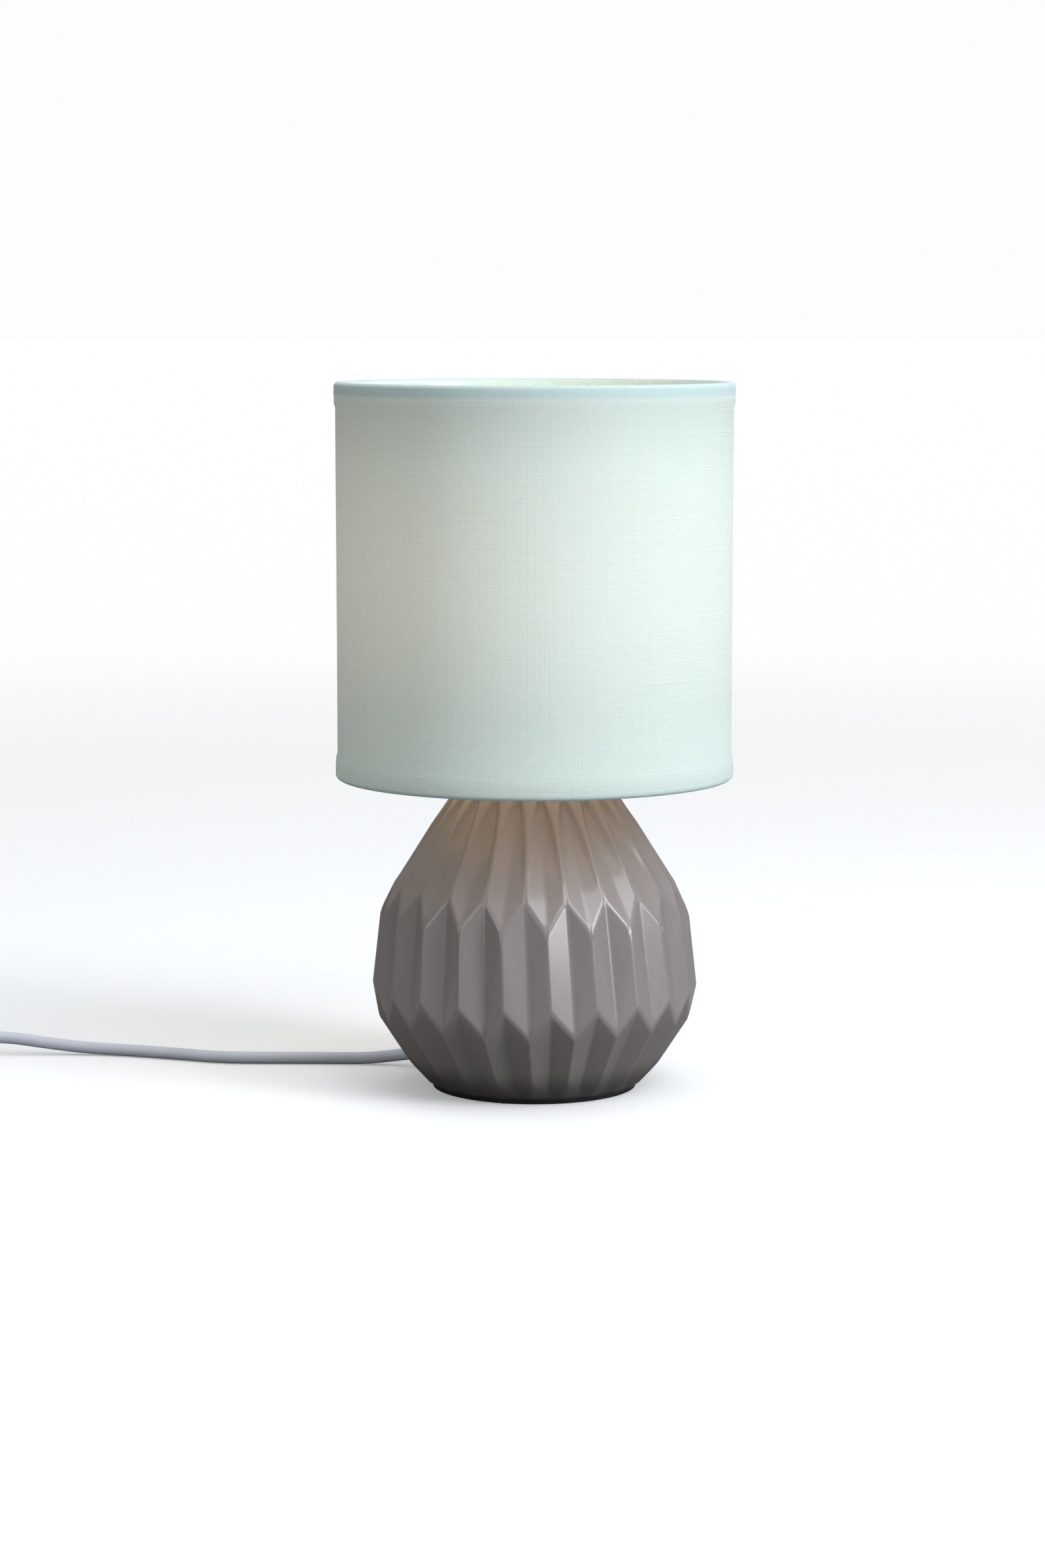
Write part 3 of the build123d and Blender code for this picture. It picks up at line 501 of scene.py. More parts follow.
# ---- materials ----------------------------------------------------------------------------------
def glaze():
    """Satin glaze, thin and pale over the folds, gathering thick and darker in the valleys, with painted
    shade darkening the bottom tiers and the foot.
    """
    settings = bpy.context.scene.lamp_ceramic
    finish = Finish("Satin glaze")
    wiring = finish.wiring
    fold = wiring.node("ShaderNodeAttribute", {"attribute_name": "fold"}).outputs["Fac"]
    ridge = wiring.fit(fold, 0.5, 0.9, smooth_step=True)
    valley = wiring.fit(fold, 0.5, 0.15, smooth_step=True)
    clouds = wiring.noise(finish.place, 28.0, 3.0, 0.55)
    fine = wiring.noise(finish.place, 900.0, 3.0, 0.7)
    body = wiring.mix(clouds, tint(settings.glaze, 0.92), tint(settings.glaze, 1.08))
    body = wiring.mix(wiring.times(ridge, 0.30), body, tint(settings.worn_glaze, 1.0))
    body = wiring.mix(wiring.times(valley, 0.28), body, tint(settings.glaze, 0.62))
    speck = wiring.node("ShaderNodeTexVoronoi", Vector=finish.place, Scale=230.0).outputs["Distance"]
    specks = wiring.fit(speck, 0.07, 0.03)
    rare = wiring.fit(wiring.noise(finish.place, 60.0, 1.0), 0.60, 0.66)
    pinholes = wiring.times(wiring.times(specks, rare), 0.5)
    body = wiring.mix(pinholes, body, tint(settings.glaze, 0.35))
    body = wiring.mix(wiring.fit(fine, 0.3, 0.7, 0.0, 0.12), body, tint(settings.glaze, 1.25))
    height = wiring.node("ShaderNodeSeparateXYZ", Vector=finish.place).outputs[2]
    # Painted shade: the bottom tiers, whose facets turn down away from the light, are darkened towards the
    # bottom.
    lower_painted_shade = wiring.fit(height, 0.038, 0.026, 0.0, 0.22, smooth_step=True)
    body = wiring.mix(lower_painted_shade, body, tint(settings.glaze, 0.55))
    # Painted shade: below about 16 mm the facets turn down towards the floor and are darkened much further.
    foot_painted_shade = wiring.fit(height, 0.016, 0.004, 0.0, 0.75, smooth_step=True)
    body = wiring.mix(foot_painted_shade, body, tint(settings.glaze, 0.16))
    # The last few millimetres above the pad are rougher, as unglazed clay, and painted near-black as shade
    # where the foot meets the floor.
    unglazed_and_shaded_foot = wiring.fit(wiring.math("ADD", height, wiring.fit(clouds, 0, 1, -0.0008, 0.0008)), 0.0034, 0.0018)
    body = wiring.mix(unglazed_and_shaded_foot, body, (0.012, 0.011, 0.011, 1))
    finish.set(Base_Color=body)
    satin = wiring.fit(clouds, 0.2, 0.8, 0.34, 0.44)
    finish.set(Roughness=wiring.math("ADD", satin, wiring.times(unglazed_and_shaded_foot, 0.3)))
    finish.set(Coat_Weight=0.6, Coat_Roughness=0.12, Specular_IOR_Level=0.5)
    ripple = wiring.noise(finish.place, 240.0, 2.0, 0.5)
    finish.bump(wiring.math("ADD", ripple, wiring.times(fine, 0.12)), 0.00012)
    return finish.material


def linen():
    """Woven linen with a painted glow of the bulb's light through it, and painted shade darkening the doubled
    edges, where less of that light comes through.
    """
    settings = bpy.context.scene.lamp_shade
    warmth = bpy.context.scene.lamp_bulb.warmth
    finish = Finish("Linen")
    wiring = finish.wiring
    weave = finish.group(
        plain_weave(), Vector=finish.place,
        Threads_round=float(settings.threads_round), Pitch=settings.thread_pitch,
    )
    height = wiring.node("ShaderNodeSeparateXYZ", Vector=finish.place).outputs[2]
    slub = wiring.fit(weave["Slub"], 0.30, 0.70)
    cloth = wiring.mix(slub, tint(settings.linen, 0.95), tint(settings.linen, 1.04))
    cloth = wiring.mix(wiring.fit(weave["Height"], 0.2, 0.9, 0.3, 0.8), tint(settings.linen, 0.88), cloth)
    cloth = wiring.mix(wiring.times(weave["Tone"], 0.25), cloth, tint(settings.linen, 1.1))
    low, high = SHADE_LOW.z, SHADE_HIGH.z
    hem = settings.hem_height
    # Painted shade: the doubled edge bands are darkened, as less of the bulb's light comes through them.
    top_band = wiring.fit(height, high - hem * 0.66, high - hem * 0.42, smooth_step=True)
    low_band = wiring.fit(height, low + 0.0022, low + 0.0008, smooth_step=True)
    hems = wiring.math("MAXIMUM", top_band, low_band)
    cloth = wiring.mix(wiring.times(hems, 0.6), cloth, tint(settings.hem, 1.0))
    finish.set(Base_Color=cloth, Roughness=0.9, Specular_IOR_Level=0.25)
    finish.set(Sheen_Weight=0.25, Sheen_Roughness=0.4)
    # Painted light: the bulb's glow through the cloth is emission, strongest a little above the middle height
    # and weak over the doubled edges.
    middle = (low + high) / 2 + 0.008
    away = wiring.math("DIVIDE", wiring.math("SUBTRACT", height, middle), 0.052)
    glow = wiring.math("EXPONENT", wiring.times(wiring.times(away, away), -0.5))
    shine = wiring.times(glow, wiring.fit(slub, 0, 1, 1.06, 0.92))
    shine = wiring.times(shine, wiring.fit(hems, 0, 1, 1.0, 0.25))
    light = wiring.mix(shine, (0.0, 0.0, 0.0, 1.0), tint([(channel + 0.9) / 1.9 for channel in warmth], 1.0))
    finish.set(Emission_Color=light, Emission_Strength=settings.glow)
    relief = wiring.math("ADD", wiring.times(weave["Height"], 0.8), wiring.times(slub, 0.9))
    finish.bump(relief, 0.00016)
    return finish.material


def moulding(name, colour, roughness, grain=2500.0, depth=0.00002, dust=0.12, coat=0.0):
    """A moulded plastic: fine grain, slow changes of tone and a little dust on top."""
    finish = Finish(name)
    wiring = finish.wiring
    grained = finish.group(moulded_grain(), Vector=finish.place, Scale=grain)
    body = wiring.mix(wiring.fit(grained["Tone"], 0.3, 0.7), tint(colour, 0.94), tint(colour, 1.03))
    finish.set(Base_Color=finish.dusty(body, dust))
    finish.set(Roughness=wiring.fit(grained["Tone"], 0.25, 0.75, roughness - 0.06, roughness + 0.06))
    finish.set(Coat_Weight=coat, Coat_Roughness=0.1)
    finish.bump(grained["Height"], depth)
    return finish.material


def metal(name, colour, roughness, dust=0.05, tarnish=0.8):
    """A turned or drawn metal with fine rings and smudges."""
    finish = Finish(name)
    wiring = finish.wiring
    marks = finish.group(turned_metal(), Vector=finish.place)
    body = wiring.mix(wiring.fit(marks["Smudge"], 0.35, 0.7), tint(colour, tarnish), tint(colour, 1.0))
    finish.set(Base_Color=finish.dusty(body, dust), Metallic=1.0)
    finish.set(Roughness=wiring.fit(marks["Rings"], 0.3, 0.7, roughness - 0.08, roughness + 0.1))
    finish.bump(marks["Rings"], 0.00001)
    return finish.material


def sheath():
    """Soft matt PVC, faintly printed by the reel that it came off."""
    settings = bpy.context.scene.lamp_lead
    finish = Finish("PVC sheath")
    wiring = finish.wiring
    grained = finish.group(moulded_grain(), Vector=finish.place, Scale=1400.0)
    scuffs = wiring.fit(wiring.noise(finish.place, 420.0, 4.0, 0.7), 0.60, 0.72)
    tone = wiring.fit(grained["Tone"], 0.3, 0.7)
    body = wiring.mix(tone, tint(settings.sheath, 0.93), tint(settings.sheath, 1.04))
    body = wiring.mix(wiring.times(scuffs, 0.25), body, tint(settings.sheath, 0.75))
    finish.set(Base_Color=finish.dusty(body, 0.15), Roughness=wiring.fit(scuffs, 0, 1, 0.42, 0.6))
    finish.set(Subsurface_Weight=0.05, Subsurface_Scale=0.002)
    finish.bump(wiring.math("ADD", grained["Height"], grained["Tone"]), 0.00006)
    return finish.material


def opal():
    """Opal glass lit from inside, brighter round its middle than at its neck."""
    settings = bpy.context.scene.lamp_bulb
    finish = Finish("Opal glass")
    wiring = finish.wiring
    height = wiring.node("ShaderNodeSeparateXYZ", Vector=finish.place).outputs[2]
    share = wiring.fit(height, GLOBE_LOW.z, GLOBE_LOW.z + 0.03, 0.25, 1.0, smooth_step=True)
    mottle = wiring.fit(wiring.noise(finish.place, 300.0, 2.0), 0.3, 0.7, 0.96, 1.0)
    light = wiring.mix(wiring.times(share, mottle), (0.2, 0.1, 0.04, 1), tint(settings.warmth, 1.0))
    finish.set(Base_Color=wiring.mix(mottle, (0.75, 0.74, 0.70, 1), (0.86, 0.85, 0.82, 1)))
    finish.set(Roughness=wiring.fit(mottle, 0.96, 1.0, 0.22, 0.30), Coat_Weight=0.3, Coat_Roughness=0.05)
    finish.set(Emission_Color=light, Emission_Strength=settings.brightness)
    return finish.material


def foam():
    """Closed-cell foam: dark, dull and pitted."""
    finish = Finish("Foam")
    wiring = finish.wiring
    cells = wiring.node("ShaderNodeTexVoronoi", Vector=finish.place, Scale=1600.0).outputs["Distance"]
    tone = wiring.noise(finish.place, 120.0, 3.0)
    finish.set(Base_Color=wiring.mix(tone, (0.010, 0.010, 0.011, 1), (0.030, 0.029, 0.028, 1)))
    finish.set(Roughness=wiring.fit(cells, 0, 0.6, 0.95, 0.75), Specular_IOR_Level=0.2)
    finish.bump(cells, 0.0002)
    return finish.material


def steatite():
    """Unglazed white lamp-holder ceramic, slightly chalky and stained."""
    finish = Finish("Steatite")
    wiring = finish.wiring
    tone = wiring.noise(finish.place, 190.0, 4.0, 0.6)
    grit = wiring.noise(finish.place, 2600.0, 2.0, 0.7)
    stain = wiring.fit(tone, 0.3, 0.7)
    finish.set(Base_Color=wiring.mix(stain, (0.72, 0.69, 0.62, 1), (0.85, 0.83, 0.78, 1)))
    finish.set(Roughness=wiring.fit(grit, 0.3, 0.7, 0.62, 0.8))
    finish.bump(grit, 0.00004)
    return finish.material


def lining():
    """The shade's inner film: smooth, milky, with faint clouds and a faint warm glow painted in as emission
    for the bulb's light on it.
    """
    finish = Finish("Shade lining")
    wiring = finish.wiring
    weave = finish.group(plain_weave(), Vector=finish.place, Threads_round=832.0, Pitch=0.0006)
    clouds = wiring.noise(finish.place, 60.0, 3.0)
    body = wiring.mix(wiring.fit(clouds, 0.3, 0.7), (0.73, 0.73, 0.70, 1), (0.76, 0.76, 0.74, 1))
    body = wiring.mix(wiring.fit(weave["Height"], 0.2, 0.9, 0.0, 0.15), body, (0.62, 0.66, 0.64, 1))
    finish.set(Base_Color=body, Roughness=wiring.fit(clouds, 0.3, 0.7, 0.38, 0.5))
    # Painted light: a faint warm emission stands in for the bulb lighting the film.
    light = wiring.mix(clouds, (0.95, 0.62, 0.32, 1), (1.0, 0.70, 0.40, 1))
    finish.set(Emission_Color=light, Emission_Strength=0.12)
    finish.bump(clouds, 0.00003)
    return finish.material


def enamelled_wire():
    """White stoved enamel over steel wire, thin and chipped in a few places."""
    finish = Finish("White enamel")
    wiring = finish.wiring
    chips = wiring.fit(wiring.noise(finish.place, 700.0, 4.0, 0.7), 0.70, 0.74)
    orange_peel = wiring.noise(finish.place, 1500.0, 1.0)
    body = wiring.mix(chips, (0.80, 0.80, 0.78, 1), (0.25, 0.24, 0.23, 1))
    finish.set(Base_Color=finish.dusty(body, 0.2), Roughness=wiring.fit(orange_peel, 0.3, 0.7, 0.28, 0.4))
    finish.set(Metallic=wiring.times(chips, 0.9))
    finish.bump(orange_peel, 0.00003)
    return finish.material


def make_finishes():
    """Every finish, by its slot's name; the hem tape's has a name of its own."""
    lead = bpy.context.scene.lamp_lead
    return {
        "glazed_ceramic": glaze(),
        "dark_foam": foam(),
        "cord_fittings": moulding("Cord fittings", (0.62, 0.64, 0.68), 0.5),
        "white_plastic": moulding("White plastic", lead.plastic, 0.38, 3200.0, 0.000025, 0.18),
        "zinc_steel": metal("Zinc-plated steel", (0.62, 0.63, 0.64), 0.34),
        "cord_sheath": sheath(),
        "core_insulation": moulding("Live insulation", (0.18, 0.07, 0.03), 0.45),
        "core_insulation_neutral": moulding("Neutral insulation", (0.03, 0.10, 0.42), 0.45),
        "satin_steel": metal("Satin steel", (0.55, 0.54, 0.53), 0.42, 0.15),
        "holder_plastic": moulding("Holder plastic", (0.72, 0.71, 0.68), 0.35, 3000.0, 0.00002, 0.2),
        "holder_ceramic": steatite(),
        "brass": metal("Brass", (0.78, 0.58, 0.28), 0.3, 0.02, 0.7),
        "opal_glass": opal(),
        "cap_aluminium": metal("Cap aluminium", (0.77, 0.77, 0.76), 0.32, 0.02),
        "black_glass": moulding("Black glass", (0.012, 0.012, 0.014), 0.14, 900.0, 0.00001, 0.0, 0.5),
        "solder": metal("Solder", (0.66, 0.66, 0.68), 0.4, 0.0),
        "linen": linen(),
        "shade_lining": lining(),
        "white_wire": enamelled_wire(),
        "hem_tape": moulding("Hem tape", (0.84, 0.87, 0.86), 0.7, 1800.0, 0.00006),
        "tie_plastic": moulding("Tie", (0.60, 0.61, 0.63), 0.5, 1200.0, 0.00004),
        "rocker_plastic": moulding("Rocker plastic", tuple(lead.plastic), 0.3, 4000.0, 0.000015, 0.1),
        "plug_plastic": moulding("Plug plastic", lead.plastic, 0.45, 2200.0, 0.00004, 0.2),
        "pin_nickel": metal("Nickel", (0.70, 0.68, 0.64), 0.22, 0.0),
    }


def finish_for(slot):
    """The finish for a slot, made the first time that one is asked for."""
    if not FINISHES:
        FINISHES.update(make_finishes())
    return FINISHES[slot]


FINISHES = {}


# ---- the pieces ---------------------------------------------------------------------------------
class LAMP_OT_ceramic_base(bpy.types.Operator):
    """Round the folds of the ceramic base and glaze it"""

    bl_idname = "lamp.ceramic_base"
    bl_label = "Ceramic Base"

    shortest_fold = 0.003
    round_the_lead = 0.0095

    def execute(self, context):
        settings = context.scene.lamp_ceramic
        node = frame["nodes"]["ceramic_base"]
        select_only(node)
        bpy.ops.object.duplicate()
        base = context.object
        base.name = "glazed_base"
        del base["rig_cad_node"]
        base.parent = None
        bpy.ops.mesh.customdata_custom_splitnormals_clear()
        bpy.ops.object.mode_set(mode="EDIT")
        bpy.ops.mesh.select_all(action="SELECT")
        bpy.ops.mesh.remove_doubles(threshold=2e-6)
        bpy.ops.mesh.dissolve_limited(angle_limit=radians(0.8))
        bpy.ops.object.mode_set(mode="OBJECT")
        self.weigh_folds(base, settings.fold_angle)
        apply_modifier(
            base, "BEVEL", limit_method="WEIGHT", width=settings.fold_rounding, segments=3,
            use_clamp_overlap=False, profile=0.5,
        )
        apply_modifier(base, "TRIANGULATE", quad_method="BEAUTY")
        self.mark_folds(base)
        smooth(base, radians(40))
        apply_modifier(base, "WEIGHTED_NORMAL", keep_sharp=True, weight=60)
        wear(base, finish_for("glazed_ceramic"))
        settle(base, "root", "glazed_ceramic", "ceramic_base")
        return {"FINISHED"}

    def weigh_folds(self, base, least):
        """Give the outer folds a bevel weight, and leave the hollow and the holes as they are."""
        mesh = bmesh.new()
        mesh.from_mesh(base.data)
        weights = mesh.edges.layers.float.new("bevel_weight_edge")
        for edge in mesh.edges:
            if len(edge.link_faces) != 2 or edge.calc_length() < self.shortest_fold:
                continue
            if any((vertex.co - Vector(LEAD_IN)).length < self.round_the_lead for vertex in edge.verts):
                continue
            outward = all(self.faces_out(face) for face in edge.link_faces)
            if outward and edge.calc_face_angle(0) > least:
                edge[weights] = 1.0
        mesh.to_mesh(base.data)
        mesh.free()

    def faces_out(self, face):
        """Whether a face looks away from the lamp's axis."""
        out = face.calc_center_median() * Vector((1, 1, 0))
        return face.normal.dot(out) > 0.2 * out.length

    def mark_folds(self, base):
        """Store how far each point stands out (1) or lies in (0) beside the points round it."""
        mesh = base.data
        near = [[] for _ in mesh.vertices]
        for edge in mesh.edges:
            first, second = edge.vertices
            near[first].append(second)
            near[second].append(first)
        values = []
        for vertex in mesh.vertices:
            bends = [
                vertex.normal.dot((vertex.co - mesh.vertices[other].co).normalized())
                for other in near[vertex.index]
            ]
            values.append(0.5 + 1.2 * sum(bends) / max(1, len(bends)))
        attribute = mesh.attributes.new("fold", "FLOAT", "POINT")
        attribute.data.foreach_set("value", [min(1.0, max(0.0, value)) for value in values])


class LAMP_OT_shade_cloth(bpy.types.Operator):
    """Wrap the linen round the shade's wires, with rolled hems and a lapped seam"""

    bl_idname = "lamp.shade_cloth"
    bl_label = "Shade Cloth"

    segments = 256
    cloth = 0.0006
    seam_angle = radians(120)
    lap = radians(9)
    edge_rounding = 0.0017

    def execute(self, context):
        outside = SHADE_HIGH.x
        body = outside - 0.0007
        low, high = SHADE_LOW.z, SHADE_HIGH.z
        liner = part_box("shade_liner")[1].x
        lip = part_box("shade_top_ring")[1].x - 0.003 - self.cloth
        hem = context.scene.lamp_shade.hem_height
        profile = self.half_profile(outside, body, low, 1, hem, lip, liner)
        other = self.half_profile(outside, body, high, -1, hem, lip, liner)
        between = [(body, low + (high - low) * step / 10) for step in range(2, 9)]
        outline = list(reversed(profile["inside"])) + profile["outside"] + between
        outline += list(reversed(other["outside"])) + other["inside"]
        outline.append(outline[0])
        cloth = turned("linen_cloth", outline, self.segments, closed=True)
        self.unevenness(cloth, body, low, high)
        smooth(cloth, radians(50))
        wear(cloth, finish_for("linen"))
        settle(cloth, "shade", "linen", "shade_fabric")
        self.seam_patch(lip, high, hem)
        return {"FINISHED"}

    def seam_patch(self, lip, high, hem):
        """A short strip of plain tape over the inner hem's join."""
        half = 0.008 / lip
        low = high - hem + 0.0012
        clear_selection()
        bpy.ops.mesh.primitive_grid_add(x_subdivisions=12, y_subdivisions=1, size=1, location=(0, 0, 0))
        patch = bpy.context.object
        patch.name = "hem_patch"
        for vertex in patch.data.vertices:
            angle = self.seam_angle - 2 * half * vertex.co.x
            height = high - 0.0012 if vertex.co.y > 0 else low
            vertex.co = ((lip - 0.0002) * cos(angle), (lip - 0.0002) * sin(angle), height)
        apply_modifier(patch, "SOLIDIFY", thickness=0.00025, offset=0.0)
        smooth(patch, radians(30))
        wear(patch, finish_for("hem_tape"))
        settle(patch, "shade", "linen")

    def half_profile(self, outside, body, edge, towards, hem, lip, liner):
        """The section from the outer face round the wire to the turned-in edge."""
        bend = self.edge_rounding
        round_over = [
            (outside - bend + bend * cos(radians(step)), edge + towards * (bend - bend * sin(radians(step))))
            for step in range(0, 91, 18)
        ]
        outer = [(body, edge + towards * (hem + 0.0012)), (outside - 0.0002, edge + towards * (hem - 0.0004))]
        outer.append((outside, edge + towards * hem * 0.5))
        inner = [
            (lip + 0.0013, edge),
            (lip + 0.0004, edge + towards * 0.0005),
            (lip, edge + towards * 0.0015),
            (lip, edge + towards * (hem - 0.0024)),
            (lip + self.cloth, edge + towards * (hem - 0.002)),
            (lip + self.cloth, edge + towards * self.cloth),
            (liner, edge + towards * self.cloth),
        ]
        return {"outside": list(reversed(round_over)) + list(reversed(outer)), "inside": inner}

    def unevenness(self, cloth, body, low, high):
        """Let the stretched cloth wander a little, and step up where it laps over itself."""
        for vertex in cloth.data.vertices:
            x, y, z = vertex.co
            radius = hypot(x, y)
            if radius < body - 0.00005:
                continue
            share = min(1.0, min(z - low, high - z) / 0.012)
            wander = 0.00022 * noise.noise(Vector((x * 26, y * 26, z * 9))) * max(0.0, share)
            past = (atan2(y, x) - self.seam_angle) % (2 * pi)
            fading = min(1.0, max(0.0, (self.lap - past) / radians(2.5)))
            step = 0.0003 * min(1.0, past / radians(0.7)) * fading
            pucker = 0.00010 * noise.noise(Vector((x * 160, y * 160, z * 30))) * (1 - max(0.0, share))
            grown = (radius + wander + step - abs(pucker)) / radius
            vertex.co.x, vertex.co.y = x * grown, y * grown


class LAMP_OT_bulb(bpy.types.Operator):
    """Blow the opal globe and roll the thread of its cap"""

    bl_idname = "lamp.bulb"
    bl_label = "Bulb"

    pitch = 0.0026
    crest = 0.00045

    def execute(self, context):
        radius = (GLOBE_HIGH.x - GLOBE_LOW.x) / 2
        centre = GLOBE_HIGH.z - radius
        neck = 0.0084
        start, join = GLOBE_LOW.z, radians(38)
        neck_end = (radius * sin(join), centre - radius * cos(join))
        outline = [(neck, start)]
        rise = neck_end[1] - start
        for step in range(1, 12):
            share = step / 12
            ease = share**2.1 * (1 - share) + share * share
            outline.append((neck + (neck_end[0] - neck) * ease, start + rise * share))
        sweep = pi - join
        outline += [
            (radius * sin(join + sweep * step / 28), centre - radius * cos(join + sweep * step / 28))
            for step in range(29)
        ]
        outline[-1] = (0, outline[-1][1])
        globe = turned("opal_globe", outline, 96)
        apply_modifier(globe, "SOLIDIFY", thickness=0.0009, offset=-1.0)
        smooth(globe, radians(60))
        wear(globe, finish_for("opal_glass"))
        settle(globe, "bulb", "opal_glass", "bulb_globe")
        self.threaded_cap()
        return {"FINISHED"}

    def threaded_cap(self):
        """The screw cap: a thin shell whose wall rises and falls once a turn."""
        root = (CAP_HIGH.x - CAP_LOW.x) / 2
        low, high = CAP_LOW.z, CAP_HIGH.z
        barrel = 0.0067
        rows = 60
        outline = [(barrel - 0.0016, low), (barrel - 0.0006, low + 0.0004)]
        threaded = high - low - 0.0034
        outline += [(barrel - self.crest, low + 0.001 + threaded * row / rows) for row in range(rows + 1)]
        outline += [(root - 0.0004, high - 0.0016), (root, high - 0.0011)]
        outline += [(root, high - 0.0003), (root - 0.0004, high)]
        cap = turned("threaded_cap", outline, 64)
        for vertex in cap.data.vertices:
            x, y, z = vertex.co
            run_in = min(1.0, max(0.0, (z - low - 0.0012) / 0.0015))
            fade = run_in * min(1.0, max(0.0, (high - 0.0030 - z) / 0.0015))
            wave = 0.5 + 0.5 * cos(2 * pi * (z / self.pitch - atan2(y, x) / (2 * pi)))
            grown = (hypot(x, y) + self.crest * wave * fade) / hypot(x, y)
            vertex.co.x, vertex.co.y = x * grown, y * grown
        apply_modifier(cap, "SOLIDIFY", thickness=0.0004, offset=-1.0)
        smooth(cap, radians(60))
        wear(cap, finish_for("cap_aluminium"))
        settle(cap, "bulb", "cap_aluminium", "bulb_screw_cap")


class LAMP_OT_lead(bpy.types.Operator):
    """Lay the mains lead from the base to its switch, coil and plug"""

    bl_idname = "lamp.lead"
    bl_label = "Mains Lead"

    def execute(self, context):
        diameter = context.scene.lamp_lead.diameter
        first = self.run("lead_base_to_switch", FIRST_ROUTE, diameter)
        settle(first, "root", "cord_sheath", "lead_to_switch")
        second = self.run("lead_switch_to_plug", SWITCH_TO_COIL + self.coil() + COIL_TO_PLUG, diameter)
        settle(second, "root", "cord_sheath", "lead_to_coil", "lead_coil", "lead_to_plug")
        return {"FINISHED"}

    def coil(self):
        """Turns that spiral in and out by layers, starting away from the front and ending at the left."""
        points = []
        steps = round(COIL_LAYERS * COIL_TURNS_A_LAYER * COIL_POINTS_A_TURN)
        for step in range(steps + 1):
            turns = step / COIL_POINTS_A_TURN
            layer = min(COIL_LAYERS - 1, int(turns / COIL_TURNS_A_LAYER))
            along = turns / COIL_TURNS_A_LAYER - layer
            inwards = along if layer % 2 == 0 else 1 - along
            radius = COIL_OUTER + (COIL_INNER - COIL_OUTER) * inwards
            climb = max(0.0, (along - 0.88) / 0.12) if layer < COIL_LAYERS - 1 else 0.0
            height = COIL_FIRST_HEIGHT + (layer + climb) * bpy.context.scene.lamp_lead.diameter
            angle = pi / 2 + 2 * pi * turns
            points.append((COIL_CENTRE.x + radius * cos(angle), COIL_CENTRE.y + radius * sin(angle), height))
        return points

    def run(self, name, points, diameter):
        """A smooth curve of the lead's thickness along these control points."""
        curve = bpy.data.curves.new(name, "CURVE")
        curve.dimensions = "3D"
        curve.bevel_depth = diameter / 2
        curve.bevel_resolution = 6
        curve.resolution_u = 8
        curve.use_fill_caps = True
        spline = curve.splines.new("NURBS")
        spline.points.add(len(points) - 1)
        for point, place in zip(spline.points, points):
            point.co = (*place, 1.0)
        spline.order_u = 3
        spline.use_endpoint_u = True
        piece = bpy.data.objects.new(name, curve)
        bpy.context.scene.collection.objects.link(piece)
        piece.data.materials.append(finish_for("cord_sheath"))
        return piece


class LAMP_OT_finishes(bpy.types.Operator):
    """Give each piece that comes from the frame its material"""

    bl_idname = "lamp.finishes"
    bl_label = "Finishes"

    def execute(self, context):
        for part in frame["record"]["subparts"]:
            piece = frame["nodes"][part["node"]]
            wear(piece, finish_for(part["material_slot"]))
        return {"FINISHED"}


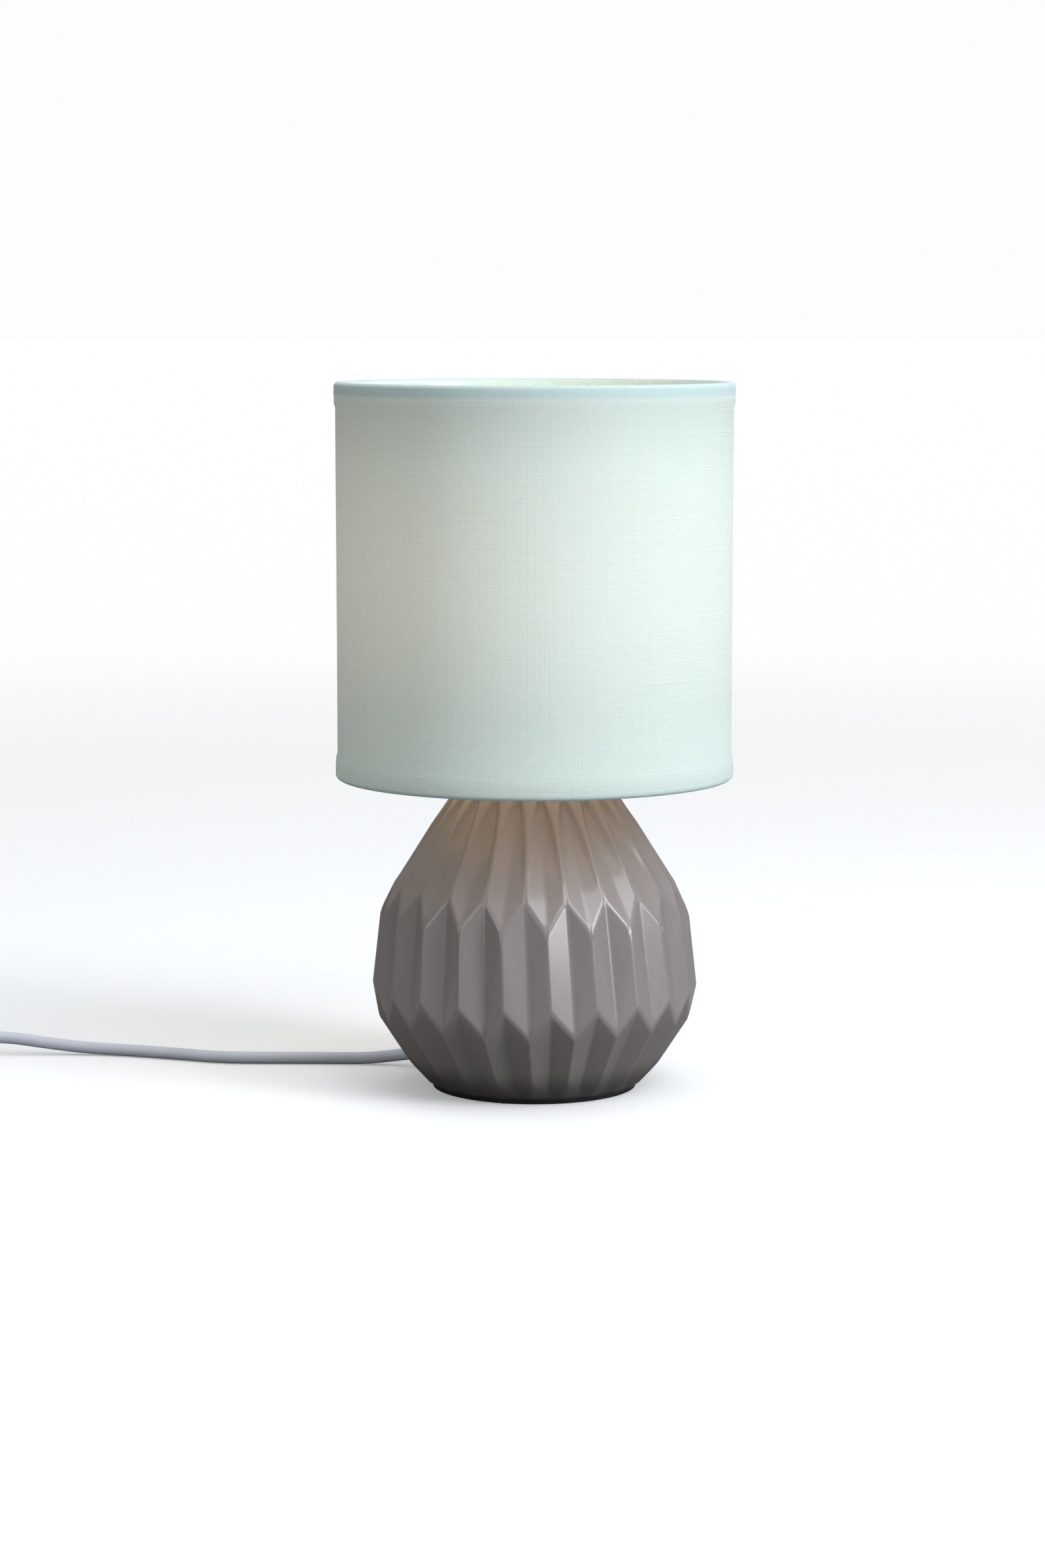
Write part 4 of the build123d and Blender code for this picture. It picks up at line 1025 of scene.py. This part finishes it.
# ---- the stage ----------------------------------------------------------------------------------
class LAMP_OT_stage(bpy.types.Operator):
    """Set the floor, the lights and the camera"""

    bl_idname = "lamp.stage"
    bl_label = "Stage"

    def execute(self, context):
        settings = context.scene.lamp_stage
        self.floor(settings)
        self.world(context.scene)
        self.lights()
        clear_selection()
        tilt = (pi / 2 - settings.camera_pitch, 0, 0)
        bpy.ops.object.camera_add(location=settings.camera_place, rotation=tilt)
        camera = context.object
        camera.data.sensor_width = 36
        camera.data.lens = settings.focal_length
        context.scene.camera = camera
        context.scene.view_settings.view_transform = "Standard"
        return {"FINISHED"}

    def floor(self, settings):
        """A wide pale floor that throws little light back up."""
        clear_selection()
        bpy.ops.mesh.primitive_circle_add(vertices=96, radius=40, fill_type="NGON", location=(0, 0, 0))
        floor = bpy.context.object
        floor.name = "studio_floor"
        bpy.ops.transform.translate(value=(0, 0, -0.0001))
        finish = Finish("Studio floor")
        wiring = finish.wiring
        tone = wiring.noise(finish.place, 3.0, 2.0)
        pale = wiring.mix(tone, tint(settings.floor, 0.84), tint(settings.floor, 0.85))
        reach = wiring.node("ShaderNodeVectorMath", {"operation": "LENGTH"}, Vector=finish.place)
        far = wiring.fit(reach.outputs["Value"], 0.25, 2.2, smooth_step=True)
        pale = wiring.mix(far, pale, (0.0, 0.0, 0.0, 1.0))
        seen = wiring.node("ShaderNodeLightPath").outputs["Is Camera Ray"]
        finish.set(Base_Color=wiring.mix(seen, tint(settings.floor, 0.22), pale))
        finish.set(Roughness=0.9, Specular_IOR_Level=0.1)
        shine = wiring.times(seen, wiring.fit(far, 0, 1, 0.24, 0.98))
        finish.set(Emission_Color=(1.0, 1.0, 1.0, 1.0), Emission_Strength=shine)
        wear(floor, finish.material)

    def world(self, scene):
        """A white room whose light falls mostly from above and from the right."""
        world = bpy.data.worlds.new("Studio")
        scene.world = world
        world.use_nodes = True
        wiring = Wiring(world.node_tree)
        sky = world.node_tree.nodes["Background"]
        place = wiring.node("ShaderNodeTexCoord").outputs["Generated"]
        axes = wiring.node("ShaderNodeSeparateXYZ", Vector=place).outputs
        above = wiring.fit(axes[2], -0.2, 0.9, 0.0, 1.0)
        right = wiring.fit(axes[0], -0.8, 0.8, 0.0, 1.0)
        light = wiring.times(wiring.fit(above, 0, 1, 0.16, 0.66), wiring.fit(right, 0, 1, 0.72, 1.0))
        dim = wiring.mix(light, (0, 0, 0, 1), (0.93, 0.97, 1.0, 1))
        seen = wiring.node("ShaderNodeLightPath").outputs["Is Camera Ray"]
        wiring.put(sky.inputs["Color"], wiring.mix(seen, dim, (0.98, 0.98, 0.98, 1)))
        sky.inputs["Strength"].default_value = 1.0

    def lights(self):
        """A tall window on the right, a weak fill on the left and a broad light overhead."""
        aim = Vector((0, 0, 0.14))
        places = [
            ("Window", (1.45, -0.95, 0.72), (0.5, 1.2), 21.0, (0.93, 0.95, 1.0)),
            ("Skylight", (0.80, -0.80, 1.45), (1.3, 0.9), 14.0, (0.85, 0.91, 1.0)),
            ("Fill", (-1.5, -1.3, 0.8), (0.9, 1.2), 6.0, (1.0, 0.97, 0.92)),
            ("Overhead", (0.1, 0.3, 1.9), (1.6, 1.2), 8.0, (0.96, 0.98, 1.0)),
        ]
        for name, place, size, power, colour in places:
            lamp = bpy.data.lights.new(name, "AREA")
            lamp.shape = "RECTANGLE"
            lamp.size, lamp.size_y = size
            lamp.energy = power
            lamp.color = colour
            light = bpy.data.objects.new(name, lamp)
            light.location = place
            light.rotation_euler = (aim - Vector(place)).to_track_quat("-Z", "Y").to_euler()
            bpy.context.scene.collection.objects.link(light)


class LAMP_PT_panel(bpy.types.Panel):
    """Sizes, colours and steps of the lamp"""

    bl_idname = "LAMP_PT_panel"
    bl_label = "Table Lamp"
    bl_space_type = "VIEW_3D"
    bl_region_type = "UI"
    bl_category = "Lamp"

    def draw(self, context):
        for name, group in SETTINGS.items():
            box = self.layout.box()
            for field in group.__annotations__:
                box.prop(getattr(context.scene, name), field)
        for step in STEPS:
            self.layout.operator(step.bl_idname)


SETTINGS = {
    "lamp_ceramic": CeramicSettings,
    "lamp_shade": ShadeSettings,
    "lamp_lead": LeadSettings,
    "lamp_bulb": BulbSettings,
    "lamp_stage": StageSettings,
}
STEPS = [
    LAMP_OT_stage,
    LAMP_OT_lead,
    LAMP_OT_finishes,
    LAMP_OT_ceramic_base,
    LAMP_OT_shade_cloth,
    LAMP_OT_bulb,
]


def register():
    """Register the settings, the steps and the panel."""
    for name, group in SETTINGS.items():
        bpy.utils.register_class(group)
        setattr(bpy.types.Scene, name, PointerProperty(type=group))
    for made in [*STEPS, LAMP_PT_panel]:
        bpy.utils.register_class(made)


def unregister():
    """Take back what register did."""
    for made in reversed([*STEPS, LAMP_PT_panel]):
        bpy.utils.unregister_class(made)
    for name, group in SETTINGS.items():
        delattr(bpy.types.Scene, name)
        bpy.utils.unregister_class(group)


def main():
    """Make the lamp and its stage."""
    register()
    for step in STEPS:
        family, name = step.bl_idname.split(".")
        getattr(getattr(bpy.ops, family), name)()


if __name__ == "__main__":
    main()
